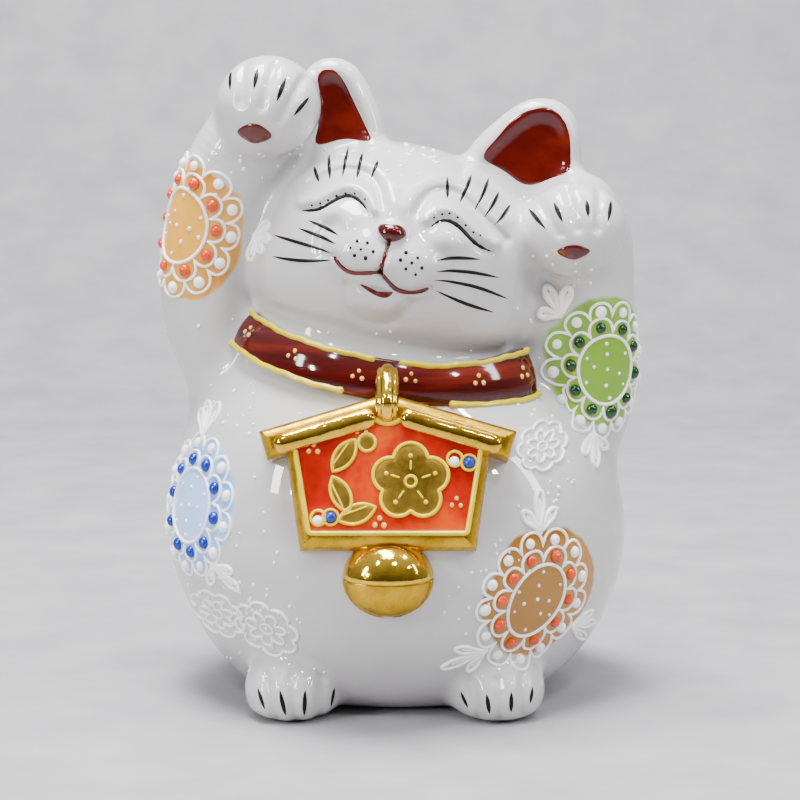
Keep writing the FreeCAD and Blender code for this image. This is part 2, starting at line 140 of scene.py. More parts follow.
def spline(knots, values, at):
    """Natural cubic spline through the values at the knots."""
    knots = np.asarray(knots, float)
    values = np.asarray(values, float)
    h = np.diff(knots)
    count = len(knots)
    matrix = np.eye(count)
    right = np.zeros_like(values)
    for i in range(1, count - 1):
        matrix[i, i - 1:i + 2] = (h[i - 1], 2 * (h[i - 1] + h[i]), h[i])
        right[i] = 6 * ((values[i + 1] - values[i]) / h[i] - (values[i] - values[i - 1]) / h[i - 1])
    bend = np.linalg.solve(matrix, right)
    i = np.clip(np.searchsorted(knots, at) - 1, 0, count - 2)
    shape = (-1,) + (1,) * (values.ndim - 1)
    step, before, after = (v.reshape(shape) for v in (h[i], at - knots[i], knots[i + 1] - at))
    return ((bend[i] * after ** 3 + bend[i + 1] * before ** 3) / (6 * step)
            + (values[i] / step - bend[i] * step / 6) * after
            + (values[i + 1] / step - bend[i + 1] * step / 6) * before)


def curve(points, spacing=0.6):
    """Evenly spaced smooth line through the points."""
    points = np.asarray(points, float)
    length = np.concatenate([[0], np.cumsum(np.linalg.norm(np.diff(points, axis=0), axis=1))])
    count = max(3, int(round(length[-1] / spacing)) + 1)
    return spline(length, points, np.linspace(0, length[-1], count))


def closed_curve(points, spacing=0.8):
    """Evenly spaced smooth closed line; its first point isn't repeated."""
    points = [tuple(q) for q in points]
    around = curve(points[-3:] + points + points[:4], spacing)
    first = np.argmin(np.linalg.norm(around[:len(around) // 2] - points[0], axis=1))
    last = len(around) // 2 + np.argmin(np.linalg.norm(around[len(around) // 2:] - points[0], axis=1))
    return around[first:last]


TORSO_HEIGHTS = np.linspace(TORSO[0, 0], TORSO[-1, 0], 600)
TORSO_ROWS = spline(TORSO[:, 0], TORSO[:, 1:], TORSO_HEIGHTS)
TORSO_SLOPES = np.gradient(TORSO_ROWS, TORSO_HEIGHTS, axis=0)
BASE_ROUNDING = 2.5
FOOT_ROUNDING = 5.0


def torso_field(p):
    z = np.clip(p[:, 2], TORSO_HEIGHTS[0], TORSO_HEIGHTS[-1])
    middle, width, front, back = (np.interp(z, TORSO_HEIGHTS, TORSO_ROWS[:, i]) for i in range(4))
    slopes = (np.interp(z, TORSO_HEIGHTS, TORSO_SLOPES[:, i]) for i in (1, 2, 3))
    width_slope, front_slope, back_slope = slopes
    behind = p[:, 1] > 0
    depth = np.where(behind, back, front)
    depth_slope = np.where(behind, back_slope, front_slope)
    x = (p[:, 0] - middle) / width
    y = p[:, 1] / depth
    rho = np.maximum(np.sqrt(x * x + y * y), 1e-3)
    rise = (x * x * width_slope / width + y * y * depth_slope / depth) / rho
    steep = np.sqrt((x / width / rho) ** 2 + (y / depth / rho) ** 2 + rise ** 2)
    side = (rho - 1) / np.maximum(steep, 1e-6)
    side = smooth_max(side, p[:, 2] - TORSO_HEIGHTS[-1], 4)
    return smooth_max(side, -p[:, 2], BASE_ROUNDING)


def to_head(p):
    """World point to the head's own frame: right, back and up from its centre."""
    q = p - HEAD_CENTRE
    c, s = math.cos(HEAD_TILT), math.sin(HEAD_TILT)
    return np.stack([c * q[..., 0] - s * q[..., 2], q[..., 1], s * q[..., 0] + c * q[..., 2]], -1)


def from_head(q):
    """Point of the head's own frame back to the world."""
    c, s = math.cos(HEAD_TILT), math.sin(HEAD_TILT)
    turned = np.stack([c * q[..., 0] + s * q[..., 2], q[..., 1], c * q[..., 2] - s * q[..., 0]], -1)
    return turned + HEAD_CENTRE


# ---------------------------------------------------------------- relief seen from the front
def line_distance(p, line):
    best = np.full(len(p), 1e9)
    for a, b in zip(line[:-1], line[1:]):
        along = b - a
        t = np.clip(((p - a) @ along) / max(along @ along, 1e-9), 0, 1)
        gap = p - a - t[:, None] * along
        best = np.minimum(best, (gap * gap).sum(-1))
    return np.sqrt(best)


def ridges(p, lines):
    """Sum of soft ridges; each row is (height, half width, points)."""
    total = np.zeros(len(p))
    for height, width, points in lines:
        line = curve(points, 2.0) if len(points) > 2 else np.array(points, float)
        total += height * np.exp(-(line_distance(p, line) / width) ** 2)
    return total


def mounds(p, rows):
    """Sum of soft mounds; each row is (height, (x, z), (half width, half height), power of its edge)."""
    total = np.zeros(len(p))
    for height, centre, half, power in rows:
        rho = (((p - np.array(centre)) / np.array(half)) ** 2).sum(-1)
        total += height * np.exp(-rho ** power)
    return total


# lines and forms of the face in the head's own (right, up)
RIGHT_EYE = [(-33.0, 10.4), (-29.0, 11.6), (-26.0, 13.7), (-22.6, 16.8), (-19.1, 18.3), (-15.9, 17.6),
             (-12.7, 15.0)]
LEFT_EYE = [(7.2, 14.2), (8.9, 16.2), (11.4, 17.3), (14.6, 16.9), (18.9, 14.4), (23.6, 11.6), (28.0, 10.5)]
MOUTH_STEM = [(-4.5, 8.2), (-4.6, 4.9), (-5.0, 1.4), (-5.1, -1.9)]
MOUTH_RIGHT = [(-20.2, -0.6), (-17.7, -2.8), (-14.7, -4.1), (-11.4, -3.8), (-7.5, -2.7), (-5.1, -1.9)]
MOUTH_LEFT = [(-5.1, -1.9), (-2.5, -4.0), (0.7, -6.1), (4.2, -6.5), (7.5, -5.8), (10.8, -4.0)]
FACE_RIDGES = [
    # eyelids
    (1.7, 1.9, [(-34, 13), (-28.5, 16), (-24, 19.8), (-19, 21.8), (-14.5, 20.6), (-11, 16.5)]),
    (1.7, 1.9, [(5.6, 17), (8, 20), (12.2, 21.2), (17, 19.2), (22, 16.0), (28.5, 13.2)]),
    # folds above the lids
    (-1.3, 1.5, [(-37, 15), (-31, 20), (-25, 24), (-19, 26), (-12, 24), (-8.5, 18.5)]),
    (-1.3, 1.5, [(2.0, 18), (5, 24), (11.5, 26), (18, 23.6), (25, 19), (32, 14.5)]),
    # brows
    (0.9, 2.6, [(-38, 20), (-29, 26.5), (-19, 29.8), (-10, 27.5), (-6.5, 20)]),
    (0.9, 2.6, [(-1, 20), (2.5, 28), (12, 30.5), (21, 27.5), (31, 21)]),
    # grooves that the painted lines run in
    (-0.7, 0.9, RIGHT_EYE), (-0.7, 0.9, LEFT_EYE),
    (-1.3, 1.1, MOUTH_STEM), (-1.0, 1.1, MOUTH_RIGHT), (-1.0, 1.1, MOUTH_LEFT),
    # smile folds, bridge of the nose, crease under the chin
    (-0.9, 2.2, [(-23.5, -1), (-25, 5), (-22, 10)]), (-0.9, 2.2, [(14, -4), (16.5, 3), (14, 8)]),
    (1.6, 4.5, [(-4.4, 24), (-4.4, 13)]),
    (-1.2, 2.2, [(-14, -9), (-11.5, -15.5), (-4.2, -18.5), (3, -15), (6, -10)]),
]
FACE_MOUNDS = [
    # muzzle and eyeballs
    (3.8, (-12.5, 1.2), (10, 8.2), 1.7), (3.8, (3.6, 0.6), (10, 8.2), 1.7),
    (1.5, (-20, 12.2), (6.2, 3.4), 1.5), (1.5, (13.6, 11.8), (6.2, 3.4), 1.5),
    # nose, chin and the open mouth
    (2.3, (-4.3, 10.8), (4.5, 3.0), 2.0),
    (2.6, (-4.2, -11.2), (10, 5.4), 1.6), (-1.5, (-4.8, -8.2), (6.0, 1.3), 1.4),
    # cheeks and the hollow of the forehead
    (1.4, (-31, -4), (12, 12), 1.0), (1.4, (25, -6), (12, 12), 1.0),
    (-1.0, (-4, 29), (6, 9), 1.0),
]


def head_field(p):
    q = to_head(p)
    result = smooth_min(ellipsoid(q, *SKULL), ellipsoid(q, *JOWLS), 8)
    near = (np.abs(result) < 8) & (q[:, 1] < -8)
    face = q[near][:, (0, 2)]
    relief = ridges(face, FACE_RIDGES) + mounds(face, FACE_MOUNDS)
    result[near] -= relief * step_up(-q[near][:, 1], 8, 24)
    return result


# toes: (claw from, claw to) pairs, seen from the front
RIGHT_PAW_CLAWS = [((-52.2, 205.3), (-52.0, 199.6)), ((-43.2, 206.4), (-44.2, 200.2)),
                   ((-34.3, 203.5), (-37.0, 196.3)), ((-27.0, 197.5), (-31.8, 191.7))]
LEFT_PAW_CLAWS = [((42.9, 161.8), (47.9, 156.0)), ((50.5, 164.4), (53.0, 158.5)),
                  ((60.8, 165.2), (61.2, 160.1)), ((69.0, 164.6), (67.6, 158.6))]
RIGHT_FOOT_CLAWS = [((-43.5, 11.6), (-41.2, 5.2)), ((-36.3, 12.0), (-34.5, 3.8)),
                    ((-28.3, 12.0), (-28.6, 3.6)), ((-19.2, 11.0), (-20.4, 4.4))]
LEFT_FOOT_CLAWS = [((21.0, 10.2), (23.3, 5.3)), ((29.1, 10.8), (30.0, 4.4)),
                   ((36.9, 11.4), (36.9, 4.9)), ((43.9, 11.8), (43.1, 6.8))]
TOE_GROOVE = (-1.2, 1.6)       # (height, half width)
TOES_FROM_Y = -44


def toe_ridges(claws, above, below):
    """Grooves half way between the claws, running above and below them."""
    rows = []
    for (top_a, end_a), (top_b, end_b) in zip(claws[:-1], claws[1:]):
        top = (np.array(top_a) + top_b) / 2
        end = (np.array(end_a) + end_b) / 2
        along = (top - end) / np.linalg.norm(top - end)
        rows.append((*TOE_GROOVE, [top + along * above, end - along * below]))
    return rows


TOES = {name: toe_ridges(claws, *reach) for name, claws, reach in (
    ("right_paw", RIGHT_PAW_CLAWS, (3, 4)), ("left_paw", LEFT_PAW_CLAWS, (3, 3)),
    ("right_foot", RIGHT_FOOT_CLAWS, (3.5, 2)), ("left_foot", LEFT_FOOT_CLAWS, (3.5, 2)))}


def with_toes(p, field, name, from_y):
    near = (np.abs(field) < 6) & (p[:, 1] < from_y)
    seen = p[near][:, (0, 2)]
    field[near] -= ridges(seen, TOES[name]) * step_up(from_y - p[near][:, 1], 0, 5)
    return field


def arm_field(p, stations, web, paw, name):
    palm = with_toes(p, ellipsoid(p, *paw), name, paw[0][1] - 2)
    arm = smooth_min(limb(p, stations), palm, 3.0)
    return smooth_min(arm, limb(p, web), 4.0)


def foot_field(p, side, name):
    (x, y, z), half = FOOT
    field = with_toes(p, ellipsoid(p, (side * x, y, z), half), name, TOES_FROM_Y)
    return smooth_max(field, -p[:, 2], FOOT_ROUNDING)


def outline_distance(p, outline):
    """Signed distance in the plane to a closed outline, negative inside."""
    distance = line_distance(p, np.vstack([outline, outline[:1]]))
    inside = np.zeros(len(p), bool)
    for (ax, ay), (bx, by) in zip(outline, np.roll(outline, -1, axis=0)):
        crosses = (ay > p[:, 1]) != (by > p[:, 1])
        if ay != by:
            inside ^= crosses & (p[:, 0] < ax + (p[:, 1] - ay) * (bx - ax) / (by - ay))
    return np.where(inside, -distance, distance)


EARS = {-1: closed_curve(RIGHT_EAR, 1.5), 1: closed_curve(LEFT_EAR, 1.5)}


def ear_field(p, side):
    q = to_head(p)
    near = (q[:, 2] > 8) & (q[:, 0] * side > 0) & (np.abs(q[:, 1]) < 24)
    result = np.full(len(p), 30.0)
    plane = outline_distance(q[near][:, (0, 2)], EARS[side])
    thick = EAR_THICK - EAR_TAPER * (q[near][:, 2] - 30)
    slab = np.abs(q[near][:, 1] - EAR_MIDDLE_Y) - thick
    shell = smooth_max(plane - EAR_EDGE, slab, 7)
    hollow = EAR_HOLLOW * step_up(-plane, 2.0, 7.0) * (q[near][:, 1] < EAR_MIDDLE_Y)
    result[near] = shell + hollow
    return result


# clay that fills the creases between head, arms and shoulders, as (x, y, z, radius)
LEFT_WEB = np.array([(47, -3, 94, 10), (50, -6, 110, 11), (51, -8, 124, 11.5), (51, -8, 140, 10.5)], float)
RIGHT_WEB = np.array([(-44, 2, 112, 9), (-46, 2, 128, 10), (-45.5, -1, 150, 11), (-43.5, -4, 168, 10.5),
                      (-42, -5, 179, 8)], float)

TAIL = np.array([(5, 58, 13, 8.5), (10, 62, 20, 10.5), (15, 62, 27, 10), (18, 60, 33, 7.5)], float)
LIMB_STEP = 2.5
LEFT_ARM, LEFT_WEB, RIGHT_ARM, RIGHT_WEB, TAIL = (
    curve(stations, LIMB_STEP) for stations in (LEFT_ARM, LEFT_WEB, RIGHT_ARM, RIGHT_WEB, TAIL))


def neck_field(p):
    """Disc of porcelain that closes the ring of the collar."""
    q = (p - NECK_POINT) @ NECK_TURN
    out = np.sqrt((q[:, 0] / COLLAR_HALF[0]) ** 2 + (q[:, 1] / COLLAR_HALF[1]) ** 2)
    return smooth_max((out - 1) * COLLAR_HALF[1] + NECK_INSET, np.abs(q[:, 2]) - NECK_HALF, 3.0)


GROUPS = {
    "torso": lambda p: smooth_min(torso_field(p), neck_field(p), 3.0),
    "head": head_field,
    "right_arm": lambda p: arm_field(p, RIGHT_ARM, RIGHT_WEB, RIGHT_PAW, "right_paw"),
    "left_arm": lambda p: arm_field(p, LEFT_ARM, LEFT_WEB, LEFT_PAW, "left_paw"),
    "right_ear": lambda p: ear_field(p, -1),
    "left_ear": lambda p: ear_field(p, 1),
    "right_foot": lambda p: foot_field(p, -1, "right_foot"),
    "left_foot": lambda p: foot_field(p, 1, "left_foot"),
    "tail": lambda p: limb(p, TAIL),
}
# how softly each group runs into what comes before it
BLEND = {"head": 3, "right_arm": 7, "left_arm": 7, "right_ear": 5, "left_ear": 5, "right_foot": 5,
         "left_foot": 5, "tail": 5}


def body_field(p):
    result = None
    for name, field in GROUPS.items():
        distance = field(p)
        result = distance if result is None else smooth_min(result, distance, BLEND[name])
    return result


# ================================================================ meshing of a field
def gradient(field, p, h=0.08):
    """Unit gradient by four samples at the corners of a tetrahedron."""
    corners = np.array([(1, 1, 1), (1, -1, -1), (-1, 1, -1), (-1, -1, 1)], float)
    total = sum(c * field(p + h * c)[:, None] for c in corners)
    return total / np.maximum(np.linalg.norm(total, axis=1, keepdims=True), 1e-12)


def sample_grid(field, low, high, step, block=8):
    """Field values on a grid, worked out finely only near the surface."""
    cells = np.ceil((np.array(high) - low) / (step * block)).astype(int)
    coarse = np.stack(np.meshgrid(*[np.arange(n) for n in cells], indexing="ij"), -1).reshape(-1, 3)
    middle = field(low + (coarse + 0.5) * step * block)
    values = np.repeat(np.repeat(np.repeat(middle.reshape(cells), block, 0), block, 1), block, 2)
    inner = np.stack(np.meshgrid(*[np.arange(block)] * 3, indexing="ij"), -1).reshape(-1, 3)
    near = coarse[np.abs(middle) < step * block * 0.87 + 4]
    fine = (near[:, None] * block + inner[None]).reshape(-1, 3)
    for part in np.array_split(fine, max(1, len(fine) // 400000)):
        values[tuple(part.T)] = field(low + part * step)
    return values


def surface_net(values, low, step):
    """(points, quads) of the zero surface, one point in each cell that it crosses."""
    inside = values < 0
    size = np.array(values.shape)
    corners = np.zeros(size - 1, np.uint8)
    for offset in np.ndindex(2, 2, 2):
        corners += inside[tuple(slice(o, n - 1 + o) for o, n in zip(offset, size))]
    cells = np.argwhere((corners > 0) & (corners < 8))
    index = np.full(size - 1, -1)
    index[tuple(cells.T)] = np.arange(len(cells))
    total = np.zeros((len(cells), 3))
    count = np.zeros(len(cells))
    quads = []
    for axis in range(3):
        unit = np.eye(3, dtype=int)[axis]
        for b, c in np.ndindex(2, 2):
            start = np.insert(np.array((b, c)), axis, 0)
            first = values[tuple((cells + start).T)]
            second = values[tuple((cells + start + unit).T)]
            crosses = (first < 0) != (second < 0)
            t = first[crosses] / (first[crosses] - second[crosses])
            total[crosses] += start + t[:, None] * unit
            count[crosses] += 1
        low_part = [slice(1, -1)] * 3
        high_part = [slice(1, -1)] * 3
        low_part[axis] = slice(1, -2)
        high_part[axis] = slice(2, -1)
        here, there = inside[tuple(low_part)], inside[tuple(high_part)]
        edges = np.argwhere(here != there) + 1
        u, w = np.eye(3, dtype=int)[(axis + 1) % 3], np.eye(3, dtype=int)[(axis + 2) % 3]
        ring = np.stack([index[tuple((edges - o).T)] for o in (u + w, w, 0 * u, u)], 1)
        flip = ~inside[tuple(edges.T)]
        ring[flip] = ring[flip][:, ::-1]
        quads.append(ring)
    return low + step * (cells + total / count[:, None]), np.vstack(quads)


def mesh_field(field, low, high, step):
    """(points, quads, normals) of a field's surface."""
    low = np.array(low, float)
    points, quads = surface_net(sample_grid(field, low, high, step), low, step)
    for _ in range(3):
        normals = gradient(field, points)
        points = points - np.clip(field(points), -step, step)[:, None] * normals
    return points, quads, gradient(field, points)


def close_openings(points, normals, faces):
    """Cap each open edge loop with a membrane that stays under the glaze."""
    edges = Counter((a, b) for f in faces for a, b in zip(f, f[1:] + f[:1]))
    following = {}
    for (a, b), count in edges.items():
        open_sides = count - edges.get((b, a), 0)
        if open_sides > 0:
            following.setdefault(b, []).extend([a] * open_sides)
    points, normals, faces = list(points), list(normals), list(faces)
    while following:
        loop = [next(iter(following))]
        while True:
            options = following[loop[-1]]
            step = options.pop()
            if not options:
                del following[loop[-1]]
            if step == loop[0]:
                break
            loop.append(step)
        edge = np.array([points[i] for i in loop])
        inward = -np.array([normals[i] for i in loop])
        middle = edge.mean(axis=0)
        rows = [loop]
        for t in CAP_ROWS:
            row = edge + (middle - edge) * t + CAP_WALL * inward * (t == CAP_ROWS[0])
            for _ in range(3):
                shortfall = np.maximum(body_field(row) + CAP_DEPTH, 0)[:, None]
                row = row - shortfall * gradient(body_field, row)
            rows.append(list(range(len(points), len(points) + len(row))))
            points += list(row)
            normals += list(inward)
        middle = np.mean(row, axis=0)
        points.append(middle)
        normals.append(inward.mean(axis=0))
        for near, far in zip(rows[:-1], rows[1:]):
            for k in range(len(loop)):
                n = (k + 1) % len(loop)
                faces.append((near[k], near[n], far[n], far[k]))
        faces += [(a, b, len(points) - 1) for a, b in zip(rows[-1], rows[-1][1:] + rows[-1][:1])]
    return np.array(points), np.array(normals), faces


# ================================================================ pieces
def make_piece(name, points, faces, finish, normals=None):
    """A Blender object of the mesh, riding on the cat; it takes the place of the CAD node of its name."""
    material, slot = finish
    node = next((n for n in (name, name + "_casting") if n in NODES), None)
    mesh = bpy.data.meshes.new(name)
    mesh.from_pydata((np.asarray(points) * METRE).tolist(), [], [tuple(f) for f in faces])
    mesh.polygons.foreach_set("use_smooth", [True] * len(mesh.polygons))
    mesh.materials.append(material)
    if normals is not None:
        mesh.normals_split_custom_set_from_vertices(np.asarray(normals).tolist())
    mesh.update()
    piece = bpy.data.objects.new(name + "_glazed" if node else name, mesh)
    bpy.context.scene.collection.objects.link(piece)
    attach(piece, ROOT)
    if node:
        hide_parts(node)


# ================================================================ materials
class Paint:
    """Short calls for the shader nodes of a material or of the world."""

    def __init__(self, owner):
        owner.use_nodes = True
        self.nodes = owner.node_tree.nodes
        self.links = owner.node_tree.links
        self.shader = self.nodes.get("Principled BSDF")

    def place(self, kind):
        """x, y and z of a texture coordinate."""
        place = self.nodes.new("ShaderNodeTexCoord")
        split = self.nodes.new("ShaderNodeSeparateXYZ")
        self.links.new(place.outputs[kind], split.inputs[0])
        return split.outputs

    def noise(self, scale, detail=4.0, roughness=0.55, stretch=(1, 1, 1)):
        """Noise factor; the stretch makes it finer along an axis."""
        place = self.nodes.new("ShaderNodeTexCoord")
        shape = self.nodes.new("ShaderNodeMapping")
        shape.inputs["Scale"].default_value = stretch
        self.links.new(place.outputs["Object"], shape.inputs["Vector"])
        texture = self.nodes.new("ShaderNodeTexNoise")
        texture.inputs["Scale"].default_value = scale
        texture.inputs["Detail"].default_value = detail
        texture.inputs["Roughness"].default_value = roughness
        self.links.new(shape.outputs["Vector"], texture.inputs["Vector"])
        return texture.outputs["Fac"]

    def ramp(self, factor, stops):
        """Colours along a factor; stops are (position, (r, g, b))."""
        node = self.nodes.new("ShaderNodeValToRGB")
        elements = node.color_ramp.elements
        while len(elements) < len(stops):
            elements.new(0.5)
        for element, (position, colour) in zip(elements, stops):
            element.position = position
            element.color = (*colour, 1)
        self.links.new(factor, node.inputs["Fac"])
        return node.outputs["Color"]

    def number(self, operation, *values):
        """Result of a sum on numbers and sockets."""
        node = self.nodes.new("ShaderNodeMath")
        node.operation = operation
        for socket, value in zip(node.inputs, values):
            if isinstance(value, (int, float)):
                socket.default_value = value
            else:
                self.links.new(value, socket)
        return node.outputs[0]

    def length(self, a, b):
        """Length of a plane vector."""
        squares = self.number("ADD", self.number("MULTIPLY", a, a), self.number("MULTIPLY", b, b))
        return self.number("SQRT", squares)

    def layer(self, under, gap, soft, deep, pale, scale):
        """Colour laid over the one under it wherever the gap is positive."""
        cover = self.nodes.new("ShaderNodeMapRange")
        cover.interpolation_type = "SMOOTHSTEP"
        cover.inputs["From Max"].default_value = soft * METRE
        self.links.new(gap, cover.inputs["Value"])
        tint = self.ramp(self.noise(scale, 4), ((0.34, deep), (0.66, pale)))
        mix = self.nodes.new("ShaderNodeMix")
        mix.data_type = "RGBA"
        self.links.new(cover.outputs[0], mix.inputs["Factor"])
        self.links.new(under, mix.inputs["A"])
        self.links.new(tint, mix.inputs["B"])
        return mix.outputs["Result"]

    def finish(self, colour, **values):
        """Set the colour and the other inputs of the surface."""
        self.links.new(colour, self.shader.inputs["Base Color"])
        for name, value in values.items():
            self.shader.inputs[name.replace("_", " ")].default_value = value

    def bump(self, height, strength, distance):
        node = self.nodes.new("ShaderNodeBump")
        node.inputs["Strength"].default_value = strength
        node.inputs["Distance"].default_value = distance
        self.links.new(height, node.inputs["Height"])
        self.links.new(node.outputs["Normal"], self.shader.inputs["Normal"])


PORCELAIN_WHITE = ((0.0, (0.475, 0.46, 0.46)), (1.0, (0.565, 0.56, 0.565)))


# ================================================================ medallions and their washes of colour
class Medallion:
    """Enamel flower drawn on a chart of (arc, rise) in mm round an upright axis of its host."""

    def __init__(self, axis, azimuth, height, radius, oval, turn, wash, pale, deep, disc):
        self.axis = axis
        self.azimuth = math.radians(azimuth)     # 0 faces -Y, and grows towards the cat's left
        self.height = height
        self.radius = radius
        self.oval = oval                         # half sizes of the middle disc, the first along its turn
        self.turn = math.radians(turn)
        self.wash = wash                         # (arc, rise, radius) of the field of colour
        self.pale, self.deep, self.disc = pale, deep, disc

    def chart(self, line):
        """(points, normals) on the skin of a line of (arc, rise)."""
        line = np.asarray(line, float)
        angle = self.azimuth + line[:, 0] / self.radius
        out = np.stack([np.sin(angle), -np.cos(angle), 0 * angle], -1)
        middle = np.stack([0 * angle + self.axis[0], 0 * angle + self.axis[1], self.height + line[:, 1]], -1)
        starts = middle + out * (self.radius + MEDALLION_REACH)
        shift = np.zeros(len(starts))
        for _ in range(30):
            inside = body_field(starts - shift[:, None] * (0.0, 1.0, 0.0)) < 0.5
            if not inside.any():
                break
            shift += inside
        if len(shift) > 2 * CHART_EASE:
            near = np.stack([np.roll(shift, k) for k in range(-CHART_EASE, CHART_EASE + 1)]).max(axis=0)
            shift = np.stack([np.roll(near, k) for k in range(-CHART_EASE, CHART_EASE + 1)]).mean(axis=0)
        starts[:, 1] -= shift
        along = middle - starts
        return land(starts, along / np.linalg.norm(along, axis=1, keepdims=True))

    def edge(self, angle):
        """Radius of the middle disc at an angle."""
        a, b = self.oval
        return 1 / np.sqrt((np.cos(angle - self.turn) / a) ** 2 + (np.sin(angle - self.turn) / b) ** 2)

    def around(self, angle, beyond):
        """(arc, rise) at an angle, so far beyond the disc's edge."""
        reach = self.edge(angle) + beyond
        return np.stack([reach * np.cos(angle), reach * np.sin(angle)], -1)


MEDALLION_REACH = 5.0
CHART_EASE = 3
APRICOT = ((0.76, 0.38, 0.060), (0.60, 0.23, 0.012))
OCHRE = ((0.44, 0.20, 0.010), (0.31, 0.118, 0.002))
LEAF_GREEN = ((0.27, 0.49, 0.040), (0.12, 0.28, 0.004))
SKY_BLUE = ((0.42, 0.60, 0.95), (0.18, 0.36, 0.80))
MEDALLIONS = {
    "right_arm": Medallion((-60, -6), -42, 156, 15, (12.2, 10.6), 80, (0.5, -1.5, 23.0), *APRICOT,
                           (0.74, 0.35, 0.035)),
    "left_arm": Medallion((65, -6), 18, 109, 16, (11.4, 11.0), 90, (0.3, 3, 22.0), *LEAF_GREEN,
                          (0.155, 0.34, 0.006)),
    "right_flank": Medallion((0, 0), -65, 66.5, 72, (12.0, 12.0), 90, (2.5, 0.5, 21.5), *SKY_BLUE,
                             (0.40, 0.57, 0.95)),
    "left_thigh": Medallion((0, 0), 40.5, 40, 68, (12.2, 9.8), 62, (2.5, 2.5, 22.0), *OCHRE,
                            (0.31, 0.13, 0.002)),
    "back": Medallion((0, 0), 180, 78, 62, (11.6, 11.0), 90, (1, 1, 22.5), *APRICOT, (0.74, 0.35, 0.035)),
}


def porcelain(name, medallions=()):
    """White glaze; each medallion on it adds its thin field of colour and its deeper middle disc."""
    material = bpy.data.materials.new(name)
    paint = Paint(material)
    number = paint.number
    colour = paint.ramp(paint.noise(18), PORCELAIN_WHITE)
    x, y, z = paint.place("Object")
    for item in medallions:
        across = number("SUBTRACT", x, item.axis[0] * METRE)
        behind = number("SUBTRACT", y, item.axis[1] * METRE)
        # the angle is measured from the medallion's own middle, so it never wraps there
        c, s = math.cos(item.azimuth), math.sin(item.azimuth)
        ahead = number("SUBTRACT", number("MULTIPLY", across, s), number("MULTIPLY", behind, c))
        side = number("ADD", number("MULTIPLY", across, c), number("MULTIPLY", behind, s))
        arc = number("MULTIPLY", number("ARCTAN2", side, ahead), item.radius * METRE)
        rise = number("SUBTRACT", z, item.height * METRE)
        near = number("GREATER_THAN", ahead, 0)
        # the field of colour, with a ragged edge
        ragged = number("MULTIPLY_ADD", paint.noise(70, 2), 0.006, -0.003)
        wash_arc, wash_rise, wash_radius = item.wash
        spread = paint.length(number("SUBTRACT", arc, wash_arc * METRE),
                              number("SUBTRACT", rise, wash_rise * METRE))
        gap = number("SUBTRACT", wash_radius * METRE, number("ADD", spread, ragged))
        colour = paint.layer(colour, number("MULTIPLY", gap, near), 1.4, item.deep, item.pale, 55)
        # the middle disc: its oval, turned
        tc, ts = math.cos(item.turn), math.sin(item.turn)
        along = number("ADD", number("MULTIPLY", arc, tc), number("MULTIPLY", rise, ts))
        over = number("SUBTRACT", number("MULTIPLY", rise, tc), number("MULTIPLY", arc, ts))
        reach = paint.length(number("DIVIDE", along, item.oval[0] * METRE),
                             number("DIVIDE", over, item.oval[1] * METRE))
        gap = number("MULTIPLY", number("MULTIPLY", number("SUBTRACT", 1, reach), near),
                     item.oval[1] * METRE)
        lighter = tuple(min(1, v * 1.14) for v in item.disc)
        colour = paint.layer(colour, gap, 0.5, item.disc, lighter, 40)
    paint.finish(colour, Roughness=0.3, Specular_IOR_Level=0.1, Coat_Weight=1.0, Coat_Roughness=0.02)
    fine = number("MULTIPLY", paint.noise(150, 2), 0.16)
    paint.bump(number("ADD", paint.noise(38, 2), fine), 0.75, 0.0010)
    return material, "white_porcelain"


def enamel(slot, stops, scale, roughness, strength=0.25, stretch=(1, 1, 1), gloss=0.55, name=None):
    """Glossy fired enamel, mottled or streaked between its stops."""
    material = bpy.data.materials.new(name or slot)
    paint = Paint(material)
    colour = paint.ramp(paint.noise(scale, stretch=stretch), stops)
    paint.finish(colour, Roughness=roughness, Specular_IOR_Level=gloss)
    paint.bump(paint.noise(scale * 1.6, stretch=stretch), strength, 0.0005)
    return material, slot


def gold(name, deep, bright, roughness, ripple):
    """Fired gold lustre over a slightly uneven glaze."""
    material = bpy.data.materials.new(name)
    paint = Paint(material)
    paint.finish(paint.ramp(paint.noise(90, 6, 0.7), ((0.34, deep), (0.6, bright))), Metallic=1.0)
    grain = paint.number("MULTIPLY_ADD", paint.noise(260, 5, 0.7), roughness, roughness * 0.5)
    paint.links.new(grain, paint.shader.inputs["Roughness"])
    fine = paint.number("MULTIPLY", paint.noise(420, 3), 0.12)
    paint.bump(paint.number("ADD", paint.noise(70, 2), fine), ripple, 0.0012)
    return material, "gold_lustre"


def mottled(colour, spread):
    """Stops of a colour ramp about one colour."""
    darker = tuple(v * (1 - spread) for v in colour)
    lighter = tuple(min(1, v * (1 + spread)) for v in colour)
    return ((0.3, darker), (0.7, lighter))


WHITE = porcelain("white_glaze")
GLAZE = {
    "right_arm": porcelain("right_arm_glaze", (MEDALLIONS["right_arm"],)),
    "left_arm": porcelain("left_arm_glaze", (MEDALLIONS["left_arm"],)),
    "torso": porcelain("torso_glaze", [MEDALLIONS[n] for n in ("right_flank", "left_thigh", "back")]),
}
OXBLOOD_TONES = ((0.30, (0.045, 0.0012, 0.0008)), (0.52, (0.075, 0.0026, 0.0014)),
                 (0.72, (0.13, 0.008, 0.003)))
COLLAR_TONES = ((0.30, (0.030, 0.0010, 0.0008)), (0.5, (0.060, 0.002, 0.0012)), (0.75, (0.16, 0.013, 0.003)))
VERMILION_TONES = ((0.28, (0.20, 0.0015, 0.0002)), (0.5, (0.42, 0.009, 0.0004)), (0.72, (0.72, 0.095, 0.001)))
WHITE_ENAMEL = enamel("white_enamel", mottled((0.95, 0.95, 0.95), 0.03), 150, 0.12)
OXBLOOD = enamel("oxblood_enamel", OXBLOOD_TONES, 70, 0.08, 0.5, (0.7, 0.7, 1.2))
